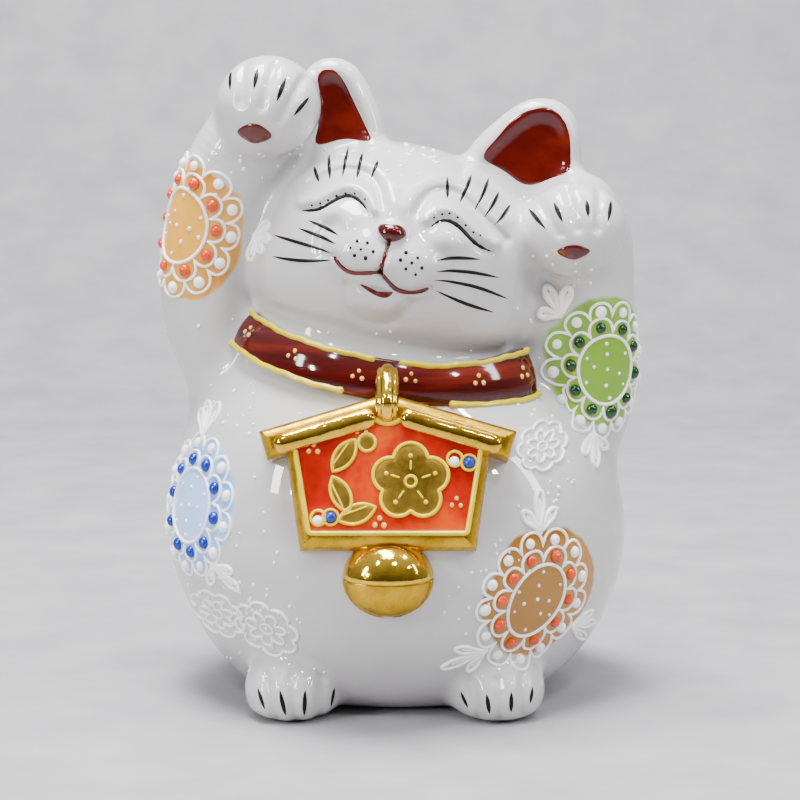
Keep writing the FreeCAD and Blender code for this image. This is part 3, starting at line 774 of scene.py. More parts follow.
COLLAR_RED = enamel("oxblood_enamel", COLLAR_TONES, 95, 0.07, 0.14, (0.22, 0.22, 2.4),
                    name="collar_red_enamel")
VERMILION = enamel("vermilion_enamel", VERMILION_TONES, 50, 0.08, 0.35)
YELLOW = enamel("yellow_enamel", mottled((0.56, 0.46, 0.001), 0.10), 180, 0.10)
CREAM_YELLOW = enamel("yellow_enamel", mottled((0.72, 0.52, 0.002), 0.12), 220, 0.10,
                      name="cream_yellow_enamel")
CREAM = enamel("yellow_enamel", mottled((0.78, 0.45, 0.10), 0.14), 300, 0.12, name="cream_dot_enamel")
BLACK = enamel("black_enamel", mottled((0.005, 0.0045, 0.0045), 0.4), 160, 0.3, gloss=0.15)
BLUE = enamel("blue_enamel", mottled((0.001, 0.022, 0.29), 0.25), 300, 0.07)
GREEN = enamel("green_enamel", mottled((0.001, 0.040, 0.004), 0.3), 300, 0.07)
ORANGE = enamel("orange_enamel", mottled((0.62, 0.055, 0.0005), 0.2), 300, 0.08)
BRIGHT_GOLD = gold("bright_gold_lustre", (0.58, 0.33, 0.018), (0.88, 0.57, 0.06), 0.09, 0.7)
SATIN_GOLD = gold("satin_gold_lustre", (0.34, 0.185, 0.005), (0.60, 0.355, 0.018), 0.30, 0.6)
DARK_GOLD = gold("plate_gold_lustre", (0.22, 0.135, 0.014), (0.40, 0.25, 0.035), 0.42, 0.6)


# ================================================================ body
def join_islands(quads, label):
    """Give each small stray island of one casting to the casting round it."""
    edges = np.sort(np.stack([quads, np.roll(quads, -1, axis=1)], -1).reshape(-1, 2), axis=1)
    owner = np.repeat(np.arange(len(quads)), 4)
    order = np.lexsort((edges[:, 1], edges[:, 0]))
    edges, owner = edges[order], owner[order]
    same = (edges[1:] == edges[:-1]).all(axis=1)
    neighbours = [[] for _ in quads]
    for a, b in zip(owner[:-1][same].tolist(), owner[1:][same].tolist()):
        neighbours[a].append(b)
        neighbours[b].append(a)
    label = label.tolist()
    seen = [False] * len(label)
    for start in range(len(label)):
        if seen[start]:
            continue
        seen[start] = True
        island, rim = [start], []
        for face in island:
            for other in neighbours[face]:
                if label[other] != label[start]:
                    rim.append(label[other])
                elif not seen[other]:
                    seen[other] = True
                    island.append(other)
        if rim and len(island) < ISLAND_FACES:
            for face in island:
                label[face] = max(set(rim), key=rim.count)
    return np.array(label)


def build_body():
    """Makes the castings, and returns the whole skin as (points, quads)."""
    points, quads, normals = mesh_field(body_field, *SKIN_BOX, GRID_STEP)
    middles = points[quads].mean(axis=1)
    names = list(GROUPS)
    label = join_islands(quads, np.argmin(np.stack([GROUPS[n](middles) for n in names]), axis=0))
    for index, name in enumerate(names):
        used, local = np.unique(quads[label == index], return_inverse=True)
        faces = [tuple(f) for f in local.reshape(-1, 4).tolist()]
        piece_points, piece_normals, faces = close_openings(points[used], normals[used], faces)
        make_piece(name, piece_points, faces, GLAZE.get(name, WHITE), piece_normals)
    return points, quads


SKIN_POINTS, SKIN_QUADS = build_body()

# ================================================================ laying things on the skin
SKIN = BVHTree.FromPolygons(SKIN_POINTS.tolist(), SKIN_QUADS.tolist())


def land(starts, directions):
    """(points, normals) where rays first meet the porcelain."""
    points = []
    for start, direction in zip(starts.tolist(), directions.tolist()):
        place = SKIN.ray_cast(start, direction)[0] or SKIN.find_nearest(start)[0]
        points.append(tuple(place))
    points = np.array(points)
    return points, gradient(body_field, points)


def standing(line, y):
    """Points of a line of (across, up), at one depth."""
    line = np.asarray(line, float)
    return np.stack([line[:, 0], np.full(len(line), y), line[:, 1]], -1)


def straight_back(starts):
    return land(starts, np.tile((0.0, 1.0, 0.0), (len(starts), 1)))


def from_front(line):
    """The skin behind a line of (x, z)."""
    return straight_back(standing(line, -120.0))


def on_face(line):
    """The skin behind a line in the head's own (right, up)."""
    return straight_back(from_head(standing(line, -80.0)))


def on_ear(line):
    """The ear behind a line in the head's own (right, up), seen from just in front of it."""
    return straight_back(from_head(standing(line, EAR_MIDDLE_Y - 9.0)))


class Heap:
    """Closed bits of mesh that make one piece."""

    def __init__(self):
        self.points = []
        self.faces = []
        self.count = 0

    def add(self, points, faces):
        self.points.append(points)
        self.faces += [tuple(i + self.count for i in face) for face in faces]
        self.count += len(points)

    def piece(self, name, finish):
        make_piece(name, np.vstack(self.points), self.faces, finish)


def outward(points, faces):
    """The faces, turned round if they enclose a negative volume."""
    corners = np.array([(f[0], f[i], f[i + 1]) for f in faces for i in range(1, len(f) - 1)])
    a, b, c = (points[corners[:, i]] for i in range(3))
    volume = (np.cross(a - points[0], b - points[0]) * (c - points[0])).sum()
    return faces if volume > 0 else [tuple(reversed(f)) for f in faces]


def rounded(distance, half):
    """Full size along a line, with round ends."""
    short = np.clip(1 - distance / half, 0, 1)
    return np.maximum(np.sqrt(1 - short * short), 0.2)


def dripped(distance, half):
    """Round ends with a fatter blob in each, where the bottle starts and stops."""
    return rounded(distance, half) * (1 + 0.32 * np.exp(-((distance - half) / (1.1 * half)) ** 2))


def brushed(distance, half):
    """Thin at both tips and full in the middle, like a brush mark."""
    return np.maximum(np.sin(0.5 * np.pi * distance / max(distance.max(), 1e-6)) ** 0.7, 0.14)


def tube(heap, columns, closed=False):
    """Skin through columns of points that run side by side round a tube."""
    width, count = len(columns), len(columns[0])
    mesh = np.stack(columns, 1).reshape(-1, 3)
    faces = []
    for i in range(count if closed else count - 1):
        j = (i + 1) % count
        for k in range(width):
            m = (k + 1) % width
            faces.append((i * width + k, i * width + m, j * width + m, j * width + k))
    if not closed:
        faces.append(tuple(reversed(range(width))))
        faces.append(tuple((count - 1) * width + k for k in range(width)))
    heap.add(mesh, outward(mesh, faces))


def stroke(heap, surface, half, high, ends=rounded, closed=False, sink=0.4, section=7):
    """Raised line of half-round section along (points, normals)."""
    points, normals = surface
    ahead = np.roll(points, -1, 0) - np.roll(points, 1, 0)
    scale = np.ones(len(points))
    if not closed:
        ahead[0] = points[1] - points[0]
        ahead[-1] = points[-1] - points[-2]
        along = np.concatenate([[0], np.cumsum(np.linalg.norm(np.diff(points, axis=0), axis=1))])
        scale = ends(np.minimum(along, along[-1] - along), half)
    side = np.cross(ahead, normals)
    side /= np.maximum(np.linalg.norm(side, axis=1, keepdims=True), 1e-9)
    columns = []
    for angle in np.linspace(0, np.pi, section):
        columns.append(points + side * (half * math.cos(angle) * scale)[:, None]
                       + normals * (high * math.sin(angle) * scale)[:, None])
    for edge in (-0.85, 0.85):
        columns.append(points + side * (half * edge * scale)[:, None] - normals * sink)
    tube(heap, columns, closed)


# (radius, height) down a bead from its shoulder to below the glaze
BEAD_ROWS = [(0.34, 0.95), (0.66, 0.77), (0.89, 0.47), (1.0, 0.12), (0.96, -0.3)]


def bead(heap, point, normal, radius, high, segments=14, stretch=1.0):
    """Drop of enamel standing on the skin."""
    helper = np.array((0, 0, 1.0)) if abs(normal[2]) < 0.8 else np.array((1.0, 0, 0))
    right = np.cross(helper, normal)
    right /= np.linalg.norm(right)
    up = np.cross(normal, right)
    turns = np.arange(segments) * 2 * np.pi / segments
    rows = [point + normal * high]
    for out, rise in BEAD_ROWS:
        ring = (np.cos(turns)[:, None] * right + np.sin(turns)[:, None] * up * stretch) * radius * out
        rows.extend(point + ring + normal * rise * high)
    rows.append(point - normal * 0.3 * high)
    faces = [(0, 1 + k, 1 + (k + 1) % segments) for k in range(segments)]
    for row in range(len(BEAD_ROWS) - 1):
        for k in range(segments):
            a, b = 1 + row * segments + k, 1 + row * segments + (k + 1) % segments
            faces.append((a, a + segments, b + segments, b))
    last = 1 + (len(BEAD_ROWS) - 1) * segments
    faces += [(len(rows) - 1, last + (k + 1) % segments, last + k) for k in range(segments)]
    heap.add(np.array(rows), faces)


def beads(heap, surface, radius, high, segments=14, uneven=0.0):
    for point, normal in zip(*surface):
        size = 1 + uneven * (2 * RANDOM.random() - 1)
        bead(heap, point, normal, radius * size, high * size, segments, 1 + uneven * RANDOM.random())


def patch(heap, chart, outline, high, dome=0.0, sink=0.6, rings=9):
    """Raised plate of glaze over a closed outline that is starlike about its middle."""
    outline = np.asarray(outline, float)
    middle = outline.mean(axis=0)
    steps = 1 - (1 - np.linspace(0, 1, rings + 1)[1:]) ** 1.6
    plane = np.vstack([middle[None]] + [middle + t * (outline - middle) for t in steps])
    points, normals = chart(plane)
    around = len(outline)
    reach = np.concatenate([[0.0], np.repeat(steps, around)])
    lift = high * np.sqrt(np.clip(1 - reach ** 10, 0, 1)) + dome * (1 - reach ** 2)
    top = points + normals * lift[:, None]
    under = points - normals * sink
    faces = []
    for row in range(rings):
        for k in range(around):
            m = (k + 1) % around
            if row == 0:
                faces.append((0, 1 + k, 1 + m))
            else:
                a, b = 1 + (row - 1) * around + k, 1 + (row - 1) * around + m
                faces.append((a, a + around, b + around, b))
    count = len(plane)
    faces += [tuple(reversed([i + count for i in f])) for f in faces]
    rim = count - around
    for k in range(around):
        m = (k + 1) % around
        faces.append((rim + k, rim + count + k, rim + count + m, rim + m))
    mesh = np.vstack([top, under])
    heap.add(mesh, outward(mesh, faces))


# ================================================================ painted face
LASHES = [  # brow hairs, tip to root
    [(-32.5, 23.9), (-29.9, 19.9)], [(-28.7, 28.3), (-26.6, 21.6)], [(-23.2, 32.4), (-22.9, 23.4)],
    [(-18.3, 31.5), (-18.3, 24.0)], [(-12.9, 30.5), (-13.9, 24.9)],
    [(9.6, 30.1), (10.9, 24.0)], [(17.3, 32.0), (15.1, 23.5)], [(23.4, 31.8), (20.2, 22.0)],
    [(27.3, 28.3), (23.7, 20.4)], [(31.7, 25.2), (27.4, 18.5)],
]
WHISKERS = [
    [(-30.6, 8.0), (-25.4, 7.3), (-20.1, 6.1)], [(-33.2, 4.8), (-27.0, 4.3), (-20.4, 3.3)],
    [(-40.8, 0.2), (-30.6, 0.5), (-20.7, 0.1)], [(-39.5, -6.3), (-29.9, -4.7), (-20.8, -2.1)],
    [(11.5, 5.1), (17.2, 6.8), (24.9, 7.6)], [(12.0, 1.7), (20.8, 3.1), (32.2, 2.8)],
    [(11.9, -1.1), (24.4, -1.0), (36.7, -3.7)], [(13.2, -4.5), (22.2, -6.6), (32.9, -8.4)],
]
EYE_DOTS = [
    (-30.4, 12.7), (-27.9, 14.0), (-25.7, 15.5), (-23.4, 17.4), (-20.8, 18.8), (-17.9, 19.4), (-14.4, 18.6),
    (7.8, 17.6), (10.1, 19.1), (12.3, 19.8), (15.1, 19.1), (18.1, 17.2), (20.9, 15.5), (23.3, 15.0),
]
MUZZLE_DOTS = [
    (-14.1, 5.9), (-10.9, 6.1), (-15.7, 3.4), (-12.5, 3.7), (-8.6, 3.9), (-14.0, 1.4), (-10.5, 1.4),
    (1.4, 5.7), (5.3, 4.9), (0.2, 3.2), (3.8, 3.0), (2.4, 0.8), (7.2, 2.1), (5.7, -0.3),
]
NOSE_OUTLINE = [(-8.7, 11.5), (-7.4, 12.7), (-5.4, 13.0), (-3.4, 13.4), (-0.6, 12.6), (0.4, 10.8),
                (-1.2, 9.1), (-4.6, 7.8), (-6.9, 8.9)]
MOUTH_OUTLINE = [(-10.5, -7.3), (-5.8, -8.0), (-2.6, -8.4), (0.1, -7.3), (-0.7, -9.0), (-3.7, -9.8),
                 (-6.9, -9.1)]
PAINT_HIGH = 0.3


def line_through(points, spacing=0.6):
    return curve(points, spacing) if len(points) > 2 else np.linspace(*np.array(points, float), 12)


def build_face():
    black = Heap()
    for line in (RIGHT_EYE, LEFT_EYE):
        stroke(black, on_face(line_through(line)), 0.95, PAINT_HIGH * 1.3, brushed)
    for line in WHISKERS:
        stroke(black, on_face(line_through(line)), 0.56, PAINT_HIGH, brushed)
    for line in LASHES:
        stroke(black, on_face(line_through(line)), 0.6, PAINT_HIGH, brushed)
    beads(black, on_face(EYE_DOTS), 0.42, PAINT_HIGH, 8)
    beads(black, on_face(MUZZLE_DOTS), 0.52, PAINT_HIGH, 8, 0.25)
    black.piece("face_lines", BLACK)
    red = Heap()
    stroke(red, on_face(line_through(MOUTH_STEM)), 0.82, PAINT_HIGH * 1.4)
    stroke(red, on_face(line_through(MOUTH_RIGHT)), 0.88, PAINT_HIGH * 1.4)
    stroke(red, on_face(line_through(MOUTH_LEFT)), 0.88, PAINT_HIGH * 1.4)
    patch(red, on_face, closed_curve(MOUTH_OUTLINE, 0.7), PAINT_HIGH)
    red.piece("mouth_line", OXBLOOD)
    nose = Heap()
    patch(nose, on_face, closed_curve(NOSE_OUTLINE, 0.7), 0.3, 0.5)
    nose.piece("nose", OXBLOOD)


def build_claws():
    claws = Heap()
    for pairs in (RIGHT_PAW_CLAWS, LEFT_PAW_CLAWS, RIGHT_FOOT_CLAWS, LEFT_FOOT_CLAWS):
        for pair in pairs:
            stroke(claws, from_front(line_through(pair)), 0.72, PAINT_HIGH, brushed)
    claws.piece("claw_lines", BLACK)


# leaf-shaped pads, from tip to tip round the leaf
PADS = {
    "right_paw_pad": [(-49.9, 186.6), (-47.5, 188.6), (-44.3, 189.4), (-41.2, 188.2), (-38.8, 185.2),
                      (-41.4, 183.5), (-44.4, 182.9), (-47.6, 184.2)],
    "left_paw_pad": [(51.4, 148.9), (53.8, 150.7), (56.6, 151.4), (59.4, 150.8), (61.9, 149.3),
                     (59.4, 147.2), (56.7, 146.4), (53.8, 147.2)],
}
# the coloured insides of the ears, in the head's own (right, up)
EAR_LININGS = {
    "right_ear_lining": [(-37.3, 52.8), (-35.4, 54.9), (-32.8, 55.1), (-30.2, 53.5), (-26.3, 49),
                         (-21.8, 43.2), (-18.4, 38.8), (-16.6, 35.8), (-21.6, 34.6), (-27.8, 32.8),
                         (-33.7, 30.9), (-34.2, 35.2), (-34.8, 41.6), (-36.2, 47.9)],
    "left_ear_lining": [(20.6, 37.4), (22.8, 43.9), (26.1, 50.0), (30.4, 54.9), (36.0, 57.6), (41.2, 56.5),
                        (45.0, 52.8), (47.2, 47.2), (48.3, 42.5), (48.5, 39.8), (47.3, 38.2), (44.6, 36.4),
                        (41.4, 34.2), (37.6, 32.2), (35.4, 31.9), (29.1, 34.2), (23.8, 35.9)],
}


def build_patches():
    for name, outline in PADS.items():
        pad = Heap()
        patch(pad, from_front, closed_curve(outline, 0.7), 0.3, 0.5)
        pad.piece(name, OXBLOOD)
    for name, outline in EAR_LININGS.items():
        lining = Heap()
        patch(lining, on_ear, closed_curve(outline, 0.9), 0.3, 0.0, 1.0, 12)
        lining.piece(name, OXBLOOD)


# ================================================================ raised white enamel
LINE = 0.48                  # half width of a line of slip
LINE_HIGH = 0.62
BEAD = 1.9
BEAD_HIGH = 1.7
PEARL = 1.8
PEARL_HIGH = 1.45
SLIP_DOT = 0.5
SLIP_DOT_HIGH = 0.45
# the two rings of arches round a middle disc: how many, and how far beyond it they reach
INNER_ARCHES = 10
OUTER_ARCHES = 13
INNER_BAND = (0.2, 5.8)
OUTER_BAND = (5.6, 11.2)
INNER_BEAD = 2.9
OUTER_PEARL = 8.1
BEAD_FINISH = {"right_arm": ORANGE, "left_arm": GREEN, "right_flank": BLUE, "left_thigh": ORANGE,
               "back": ORANGE}
# petals of a spray, root first and then each tip, as (x, z) seen from the front
SPRAYS = [
    (0.75, [(-45.3, 152.7), (-40.4, 157.0), (-39.8, 152.2), (-42.6, 147.6), (-46.8, 144.5)]),
    (1.05, [(53.7, 126.9), (49.0, 136.6), (56.3, 136.3), (46.6, 127.8)]),
    (0.7, [(64.7, 88.3), (65.3, 78.4), (60.9, 83.0), (69.4, 82.6)]),
    (0.6, [(-62.0, 88.0), (-56.6, 99.2), (-60.4, 98.9), (-62.9, 96.0)]),
    (0.7, [(-58.0, 49.6), (-49.2, 42.6), (-51.4, 48.4), (-59.0, 42.6)]),
    (0.75, [(45.7, 62.3), (40.2, 69.2), (45.5, 75.2), (50.4, 69.0)]),
    (0.6, [(28.6, 24.6), (19.0, 25.9), (14.9, 19.1), (23.2, 17.5)]),
    (0.6, [(56.5, 28.6), (64.3, 31.6), (65.7, 26.3), (62.6, 20.5)]),
]
# lace flowers, white on white: (x, z) of the middle, half width, half height, turn in degrees
LACE = [((-57.2, 32.0), 9.3, 7.6, -16), ((-40.6, 30.4), 10.6, 8.0, -32), ((46.9, 87.6), 8.0, 6.6, 10)]
DOT_FIELDS = [  # (x, z) of the middle, half width, half height, count
    ((-57, 47), 8, 9, 14), ((-42, 38), 16, 8, 22), ((-36, 18), 14, 7, 10), ((50, 74), 10, 8, 14),
    ((30, 60), 12, 22, 12), ((22, 40), 10, 22, 10), ((-57, 100), 9, 9, 10), ((47, 100), 8, 10, 10),
    ((58, 143), 9, 8, 10), ((-54, 172), 9, 8, 8), ((8, 178.5), 13, 3.5, 34), ((-28, 178), 9, 6, 10),
    ((-20, 98), 28, 5, 10), ((0, 122), 40, 5, 9), ((-44, 66), 12, 22, 10), ((-48, 116), 5, 12, 6),
]


def between(start, end, first, last):
    """Short straight line from one part of the way to another."""
    return np.array(start) + np.linspace(first, last, 10)[:, None] * (np.array(end) - np.array(start))


def petal(root, tip, width):
    """Closed loop of a spray's petal."""
    root, tip = np.array(root, float), np.array(tip, float)
    along = tip - root
    across = np.array((-along[1], along[0])) / np.linalg.norm(along) * width
    return [root, root + 0.4 * along + 0.55 * across, root + 0.8 * along + across * 0.95, tip,
            root + 0.8 * along - across * 0.95, root + 0.4 * along - 0.55 * across, root]


def arches(count, start, uneven=0.12):
    """Angles between which the arches of a scalloped ring run."""
    angles = start + np.arange(count + 1) * 2 * np.pi / count
    angles[1:-1] += (RANDOM.random(count - 1) - 0.5) * uneven * 2 * np.pi / count
    return list(zip(angles[:-1], angles[1:]))


def build_medallion(name, lines):
    item = MEDALLIONS[name]
    turns = np.linspace(0, 2 * np.pi, 90, endpoint=False)
    stroke(lines, item.chart(item.around(turns, 0.0)), LINE + 0.08, LINE_HIGH, closed=True)
    inner = arches(INNER_ARCHES, 0.2)
    outer = arches(OUTER_ARCHES, 0.05)
    swing = np.linspace(0, 1, 26)
    for spans, low, high in ((inner, *INNER_BAND), (outer, *OUTER_BAND)):
        for start, end in spans:
            rise = np.sin(np.pi * swing) ** 0.5
            angle = start + (end - start) * (swing - 0.045 * np.sin(2 * np.pi * swing))
            size = 1 + 0.1 * (RANDOM.random() - 0.5)
            stroke(lines, item.chart(item.around(angle, low + (high - low) * size * rise)), LINE, LINE_HIGH)
    jewels, pearls = Heap(), Heap()
    middles = np.array([(a + b) / 2 for a, b in inner])
    beads(jewels, item.chart(item.around(middles, INNER_BEAD)), BEAD, BEAD_HIGH, uneven=0.1)
    middles = np.array([(a + b) / 2 for a, b in outer])
    beads(pearls, item.chart(item.around(middles, OUTER_PEARL)), PEARL, PEARL_HIGH, uneven=0.1)
    jewels.piece(name + "_colour_beads", BEAD_FINISH[name])
    pearls.piece(name + "_pearls", WHITE_ENAMEL)
    spots = []
    for radius, count in ((0.0, 1), (0.42, 4), (0.76, 6)):
        for k in range(count):
            angle = 2 * np.pi * (k + 0.5 * RANDOM.random()) / count + radius * 3
            spots.append(item.around(np.array([angle]), 0.0)[0] * (radius + 0.08 * RANDOM.random()))
    beads(lines, item.chart(spots), 0.58, 0.45, 9, 0.2)


def lace_flower(lines, middle, half_width, half_height, turn):
    """Scalloped outline with a small rosette inside it."""
    turn = math.radians(turn)

    def place(angle, reach):
        x, z = reach * half_width * np.cos(angle), reach * half_height * np.sin(angle)
        return np.stack([middle[0] + x * math.cos(turn) - z * math.sin(turn),
                         middle[1] + x * math.sin(turn) + z * math.cos(turn)], -1)

    swing = np.linspace(0, 1, 16)
    for count, low, high, half in ((8, 0.82, 1.04, 0.52), (7, 0.28, 0.66, 0.42)):
        for start, end in arches(count, 0.3):
            reach = low + (high - low) * np.sin(np.pi * swing) ** 0.6
            stroke(lines, from_front(place(start + (end - start) * swing, reach)), half, 0.8)
    turns = np.linspace(0, 2 * np.pi, 20, endpoint=False)
    stroke(lines, from_front(place(turns, 0.2 + 0 * turns)), 0.32, 0.4, closed=True)
    beads(lines, from_front(place(np.arange(8) * np.pi / 4 + 0.68, np.full(8, 0.74))), 0.5, 0.35, 8, 0.3)


def build_enamel():
    lines = Heap()
    for name in MEDALLIONS:
        build_medallion(name, lines)
    for half, (root, *tips) in SPRAYS:
        for tip in tips:
            stroke(lines, from_front(line_through(petal(root, tip, 1.0 + half / 3))), half, half * 1.25)
            stroke(lines, from_front(between(root, tip, 0.3, 0.8)), half * 0.9, half * 0.7)
        beads(lines, from_front([root]), 1.0, 0.8, 10)
    for flower in LACE:
        lace_flower(lines, *flower)
    for middle, half_width, half_height, count in DOT_FIELDS:
        spread = RANDOM.normal(size=(count, 2)) * (half_width * 0.6, half_height * 0.6)
        beads(lines, from_front(np.array(middle) + spread), SLIP_DOT, SLIP_DOT_HIGH, 8, 0.35)
    lines.piece("raised_slip_lines", WHITE_ENAMEL)


# ================================================================ collar
BAND_HEIGHT = 13.4
BAND_THICK = 7.0
BAND_CROWN = 0.9
BAND_LEAN = math.radians(24)
BAND_ROUND = 1.3
BAND_RISE = 1.1                                # at its left front end, how much higher the band sits,
BAND_PUSH = 1.3                                # how much further out it stands
BAND_SWELL = 0.25                              # and by what part it is taller
BAND_SPANS = [(-70, 63), (108, 250)]           # degrees round the neck, 0 in front, between the arms
PIPING_HALF = 0.92
PIPING_HIGH = 1.15
PIPING_SINK = 0.35                             # how deep its middle lies in the band
PIPING_LEAN = 0.75                             # how far it leans out over the band's edge
# (along the band's height, from, to)
UPPER_PIPING = [(5.9, -69, -5.5), (5.9, 3, 62), (5.9, 109, 249)]
LOWER_PIPING = [(-5.9, -71, -14), (-5.9, 21.5, 63), (-5.9, 109, 249)]
BAND_TRIOS = [(-61, 0.8), (-35.5, 0.6), (-10.5, 0.0), (7.5, 1.6), (33, 1.0), (54, 0.9)]
TRIO = [(-1.35, -0.8), (1.4, -0.9), (0.1, 1.3)]
TRIO_DOT = 0.72
TRIO_HIGH = 0.55


def on_band(degrees, along, across):
    """(points, normals) round the neck, along the leaning band's height and across its thickness."""
    turn = np.radians(np.asarray(degrees, float))
    rising = step_up(turn, 0.2, 1.1) * (turn < 1.5)
    along = along * (1 + BAND_SWELL * rising) + BAND_RISE * rising
    out = COLLAR_HALF[1] + BAND_PUSH * step_up(turn, 0.5, 0.95) * (turn < 1.5)
    out = out + across * math.cos(BAND_LEAN) - along * math.sin(BAND_LEAN)
    up = across * math.sin(BAND_LEAN) + along * math.cos(BAND_LEAN)
    widen = COLLAR_HALF[0] / COLLAR_HALF[1]
    local = np.stack([widen * out * np.sin(turn), -out * np.cos(turn), up + 0 * turn], -1)
    facing = np.stack([math.cos(BAND_LEAN) * np.sin(turn), -math.cos(BAND_LEAN) * np.cos(turn),
                       math.sin(BAND_LEAN) + 0 * turn], -1)
    return local @ NECK_TURN.T + NECK_POINT, facing @ NECK_TURN.T


def band_section():
    """Rounded outline of the band as (along, across), with its outer face crowned."""
    half, thick = BAND_HEIGHT / 2, BAND_THICK / 2
    rows = []
    for middle_along, middle_across, first in ((half, thick, 0), (-half, thick, 1), (-half, -thick, 2),
                                               (half, -thick, 3)):
        along_0 = middle_along - math.copysign(BAND_ROUND, middle_along)
        across_0 = middle_across - math.copysign(BAND_ROUND, middle_across)
        for k in range(6):
            angle = math.pi / 2 * (first + k / 5)
            rows.append((along_0 + BAND_ROUND * math.cos(angle), across_0 + BAND_ROUND * math.sin(angle)))
        if first == 0:
            for t in np.linspace(0.9, -0.9, 9):
                rows.append((t * (half - BAND_ROUND), thick + BAND_CROWN * (1 - t * t)))
    return rows


def build_band():
    band = Heap()
    section = band_section()
    middle = np.mean(section, axis=0)
    for start, end in BAND_SPANS:
        degrees = np.linspace(start, end, int(end - start) + 1)
        ends = np.minimum(degrees - start, end - degrees)
        size = rounded(ends * 0.83, 1.6)
        columns = []
        for corner in section:
            spread = [middle[i] + (corner[i] - middle[i]) * size for i in range(2)]
            columns.append(on_band(degrees, *spread)[0])
        tube(band, columns)
    band.piece("collar_band", COLLAR_RED)


def build_piping(name, spans):
    piping = Heap()
    for along, start, end in spans:
        degrees = np.linspace(start, end, int((end - start) * 1.4))
        sway = 0.16 * np.sin(degrees * 0.31 + along) + 0.1 * np.sin(degrees * 0.83)
        points, normals = on_band(degrees, along + sway, BAND_THICK / 2 - PIPING_SINK)
        normals = normals + math.copysign(PIPING_LEAN, along) * NECK_NORMAL
        normals /= np.linalg.norm(normals, axis=1, keepdims=True)
        stroke(piping, (points, normals), PIPING_HALF, PIPING_HIGH, dripped, section=9, sink=1.0)
    piping.piece(name, YELLOW)


def build_collar():
    build_band()
    build_piping("collar_upper_piping", UPPER_PIPING)
    build_piping("collar_lower_piping", LOWER_PIPING)
    dots = Heap()
    for degrees, along in BAND_TRIOS:
        for arc, rise in TRIO:
            level = along + rise
            crown = BAND_CROWN * (1 - (level / (BAND_HEIGHT / 2 - BAND_ROUND)) ** 2)
            surface = on_band([degrees + math.degrees(arc / COLLAR_HALF[1])], level, BAND_THICK / 2 + crown)
            beads(dots, surface, TRIO_DOT, TRIO_HIGH, 10, 0.15)
    dots.piece("collar_dots", CREAM)


# ================================================================ plaque, strap loop and bell
PLAQUE_ORIGIN = np.array((-2.0, -72.0, 59.0))
PLAQUE_LEAN = math.radians(13)
PLAQUE_U = np.array((1.0, 0.0, 0.0))
PLAQUE_V = np.array((0.0, math.sin(PLAQUE_LEAN), math.cos(PLAQUE_LEAN)))
PLAQUE_W = np.array((0.0, -math.cos(PLAQUE_LEAN), math.sin(PLAQUE_LEAN)))
BOARD_OUTLINE = [(-27.3, 1.2), (27.3, 1.2), (32, 34), (0, 44.5), (-32, 34)]
ROOF_SLOPE = math.tan(math.radians(16.5))
ROOF_APEX = 50.0
ROOF_EAVE = 40.0
ROOF_THICK = 9.5
BAR_SPAN = (3.6, 35.2)       # how far from the middle each bar starts and ends
BAR_RISE = 3.6               # how far its line lies above the lower edge of the roof
BAR_HALF = 3.1
BAR_HIGH = 2.3
PANEL_OUTLINE = [(-24.4, 6.6), (24.4, 6.6), (28.9, 34.3), (4.9, 42.2), (2.6, 40.8), (0, 40.2), (-2.6, 40.8),
                 (-4.9, 42.2), (-28.9, 34.3)]
PANEL_TOP = 0.7
GRID_FINE = 0.6


def on_plaque(level):
    """Chart of (u, v) on the plaque, at a height out of the board."""
    def chart(line):
        line = np.asarray(line, float)
        points = PLAQUE_ORIGIN + line[:, :1] * PLAQUE_U + line[:, 1:2] * PLAQUE_V + level * PLAQUE_W
        return points, np.tile(PLAQUE_W, (len(line), 1))
    return chart


def to_plaque(p):
    q = p - PLAQUE_ORIGIN
    return np.stack([q @ PLAQUE_U, q @ PLAQUE_V, q @ PLAQUE_W], -1)


def slab_field(outline, low, high, edge):
    """Rounded slab of a (u, v) outline between two levels."""
    outline = np.array(outline, float)

    def field(p):
        q = to_plaque(p)
        return smooth_max(outline_distance(q[:, :2], outline), np.abs(q[:, 2] - (low + high) / 2)
                          - (high - low) / 2, edge)
    return field


def field_piece(name, field, low, high, finish, step):
    points, quads, normals = mesh_field(field, low, high, step)
    make_piece(name, points, quads.tolist(), finish, normals)


def rounded_outline(corners, radius, spacing=0.7):
    """Evenly stepped outline with its corners cut back and rounded."""
    corners = np.array(corners, float)
    line = []
    for before, corner, after in zip(np.roll(corners, 1, 0), corners, np.roll(corners, -1, 0)):
        into = (before - corner) / np.linalg.norm(before - corner)
        away = (after - corner) / np.linalg.norm(after - corner)
        start, end = corner + into * radius, corner + away * radius
        for t in np.linspace(0, 1, 6):
            line.append((1 - t) ** 2 * start + 2 * t * (1 - t) * corner + t * t * end)
    filled = []
    for a, b in zip(line, line[1:] + line[:1]):
        count = max(1, int(np.linalg.norm(b - a) / spacing))
        filled += [a + (b - a) * k / count for k in range(count)]
    return np.array(filled)


BLOSSOM_CENTRE = np.array((7.0, 22.5))
PETAL_RADIUS = 5.3
PETAL_OFFSET = 6.6
LEAVES = [(-13.5, 30.5, 55), (-14.5, 18.5, 115), (-9.5, 12.5, 20)]       # (u, v, direction in degrees)
LEAF_LENGTH = 12.0
LEAF_WIDTH = 5.6
BUD = (-6.5, 34.5, 2.6)
WHITE_AND_BLUE = [((20.4, 28.6), (25.0, 28.3)), ((-21.6, 10.4), (-17.6, 11.5))]
PANEL_TRIOS = [(-23, 32.6), (-8.2, 38.6), (21, 16), (-2.6, 9.9)]


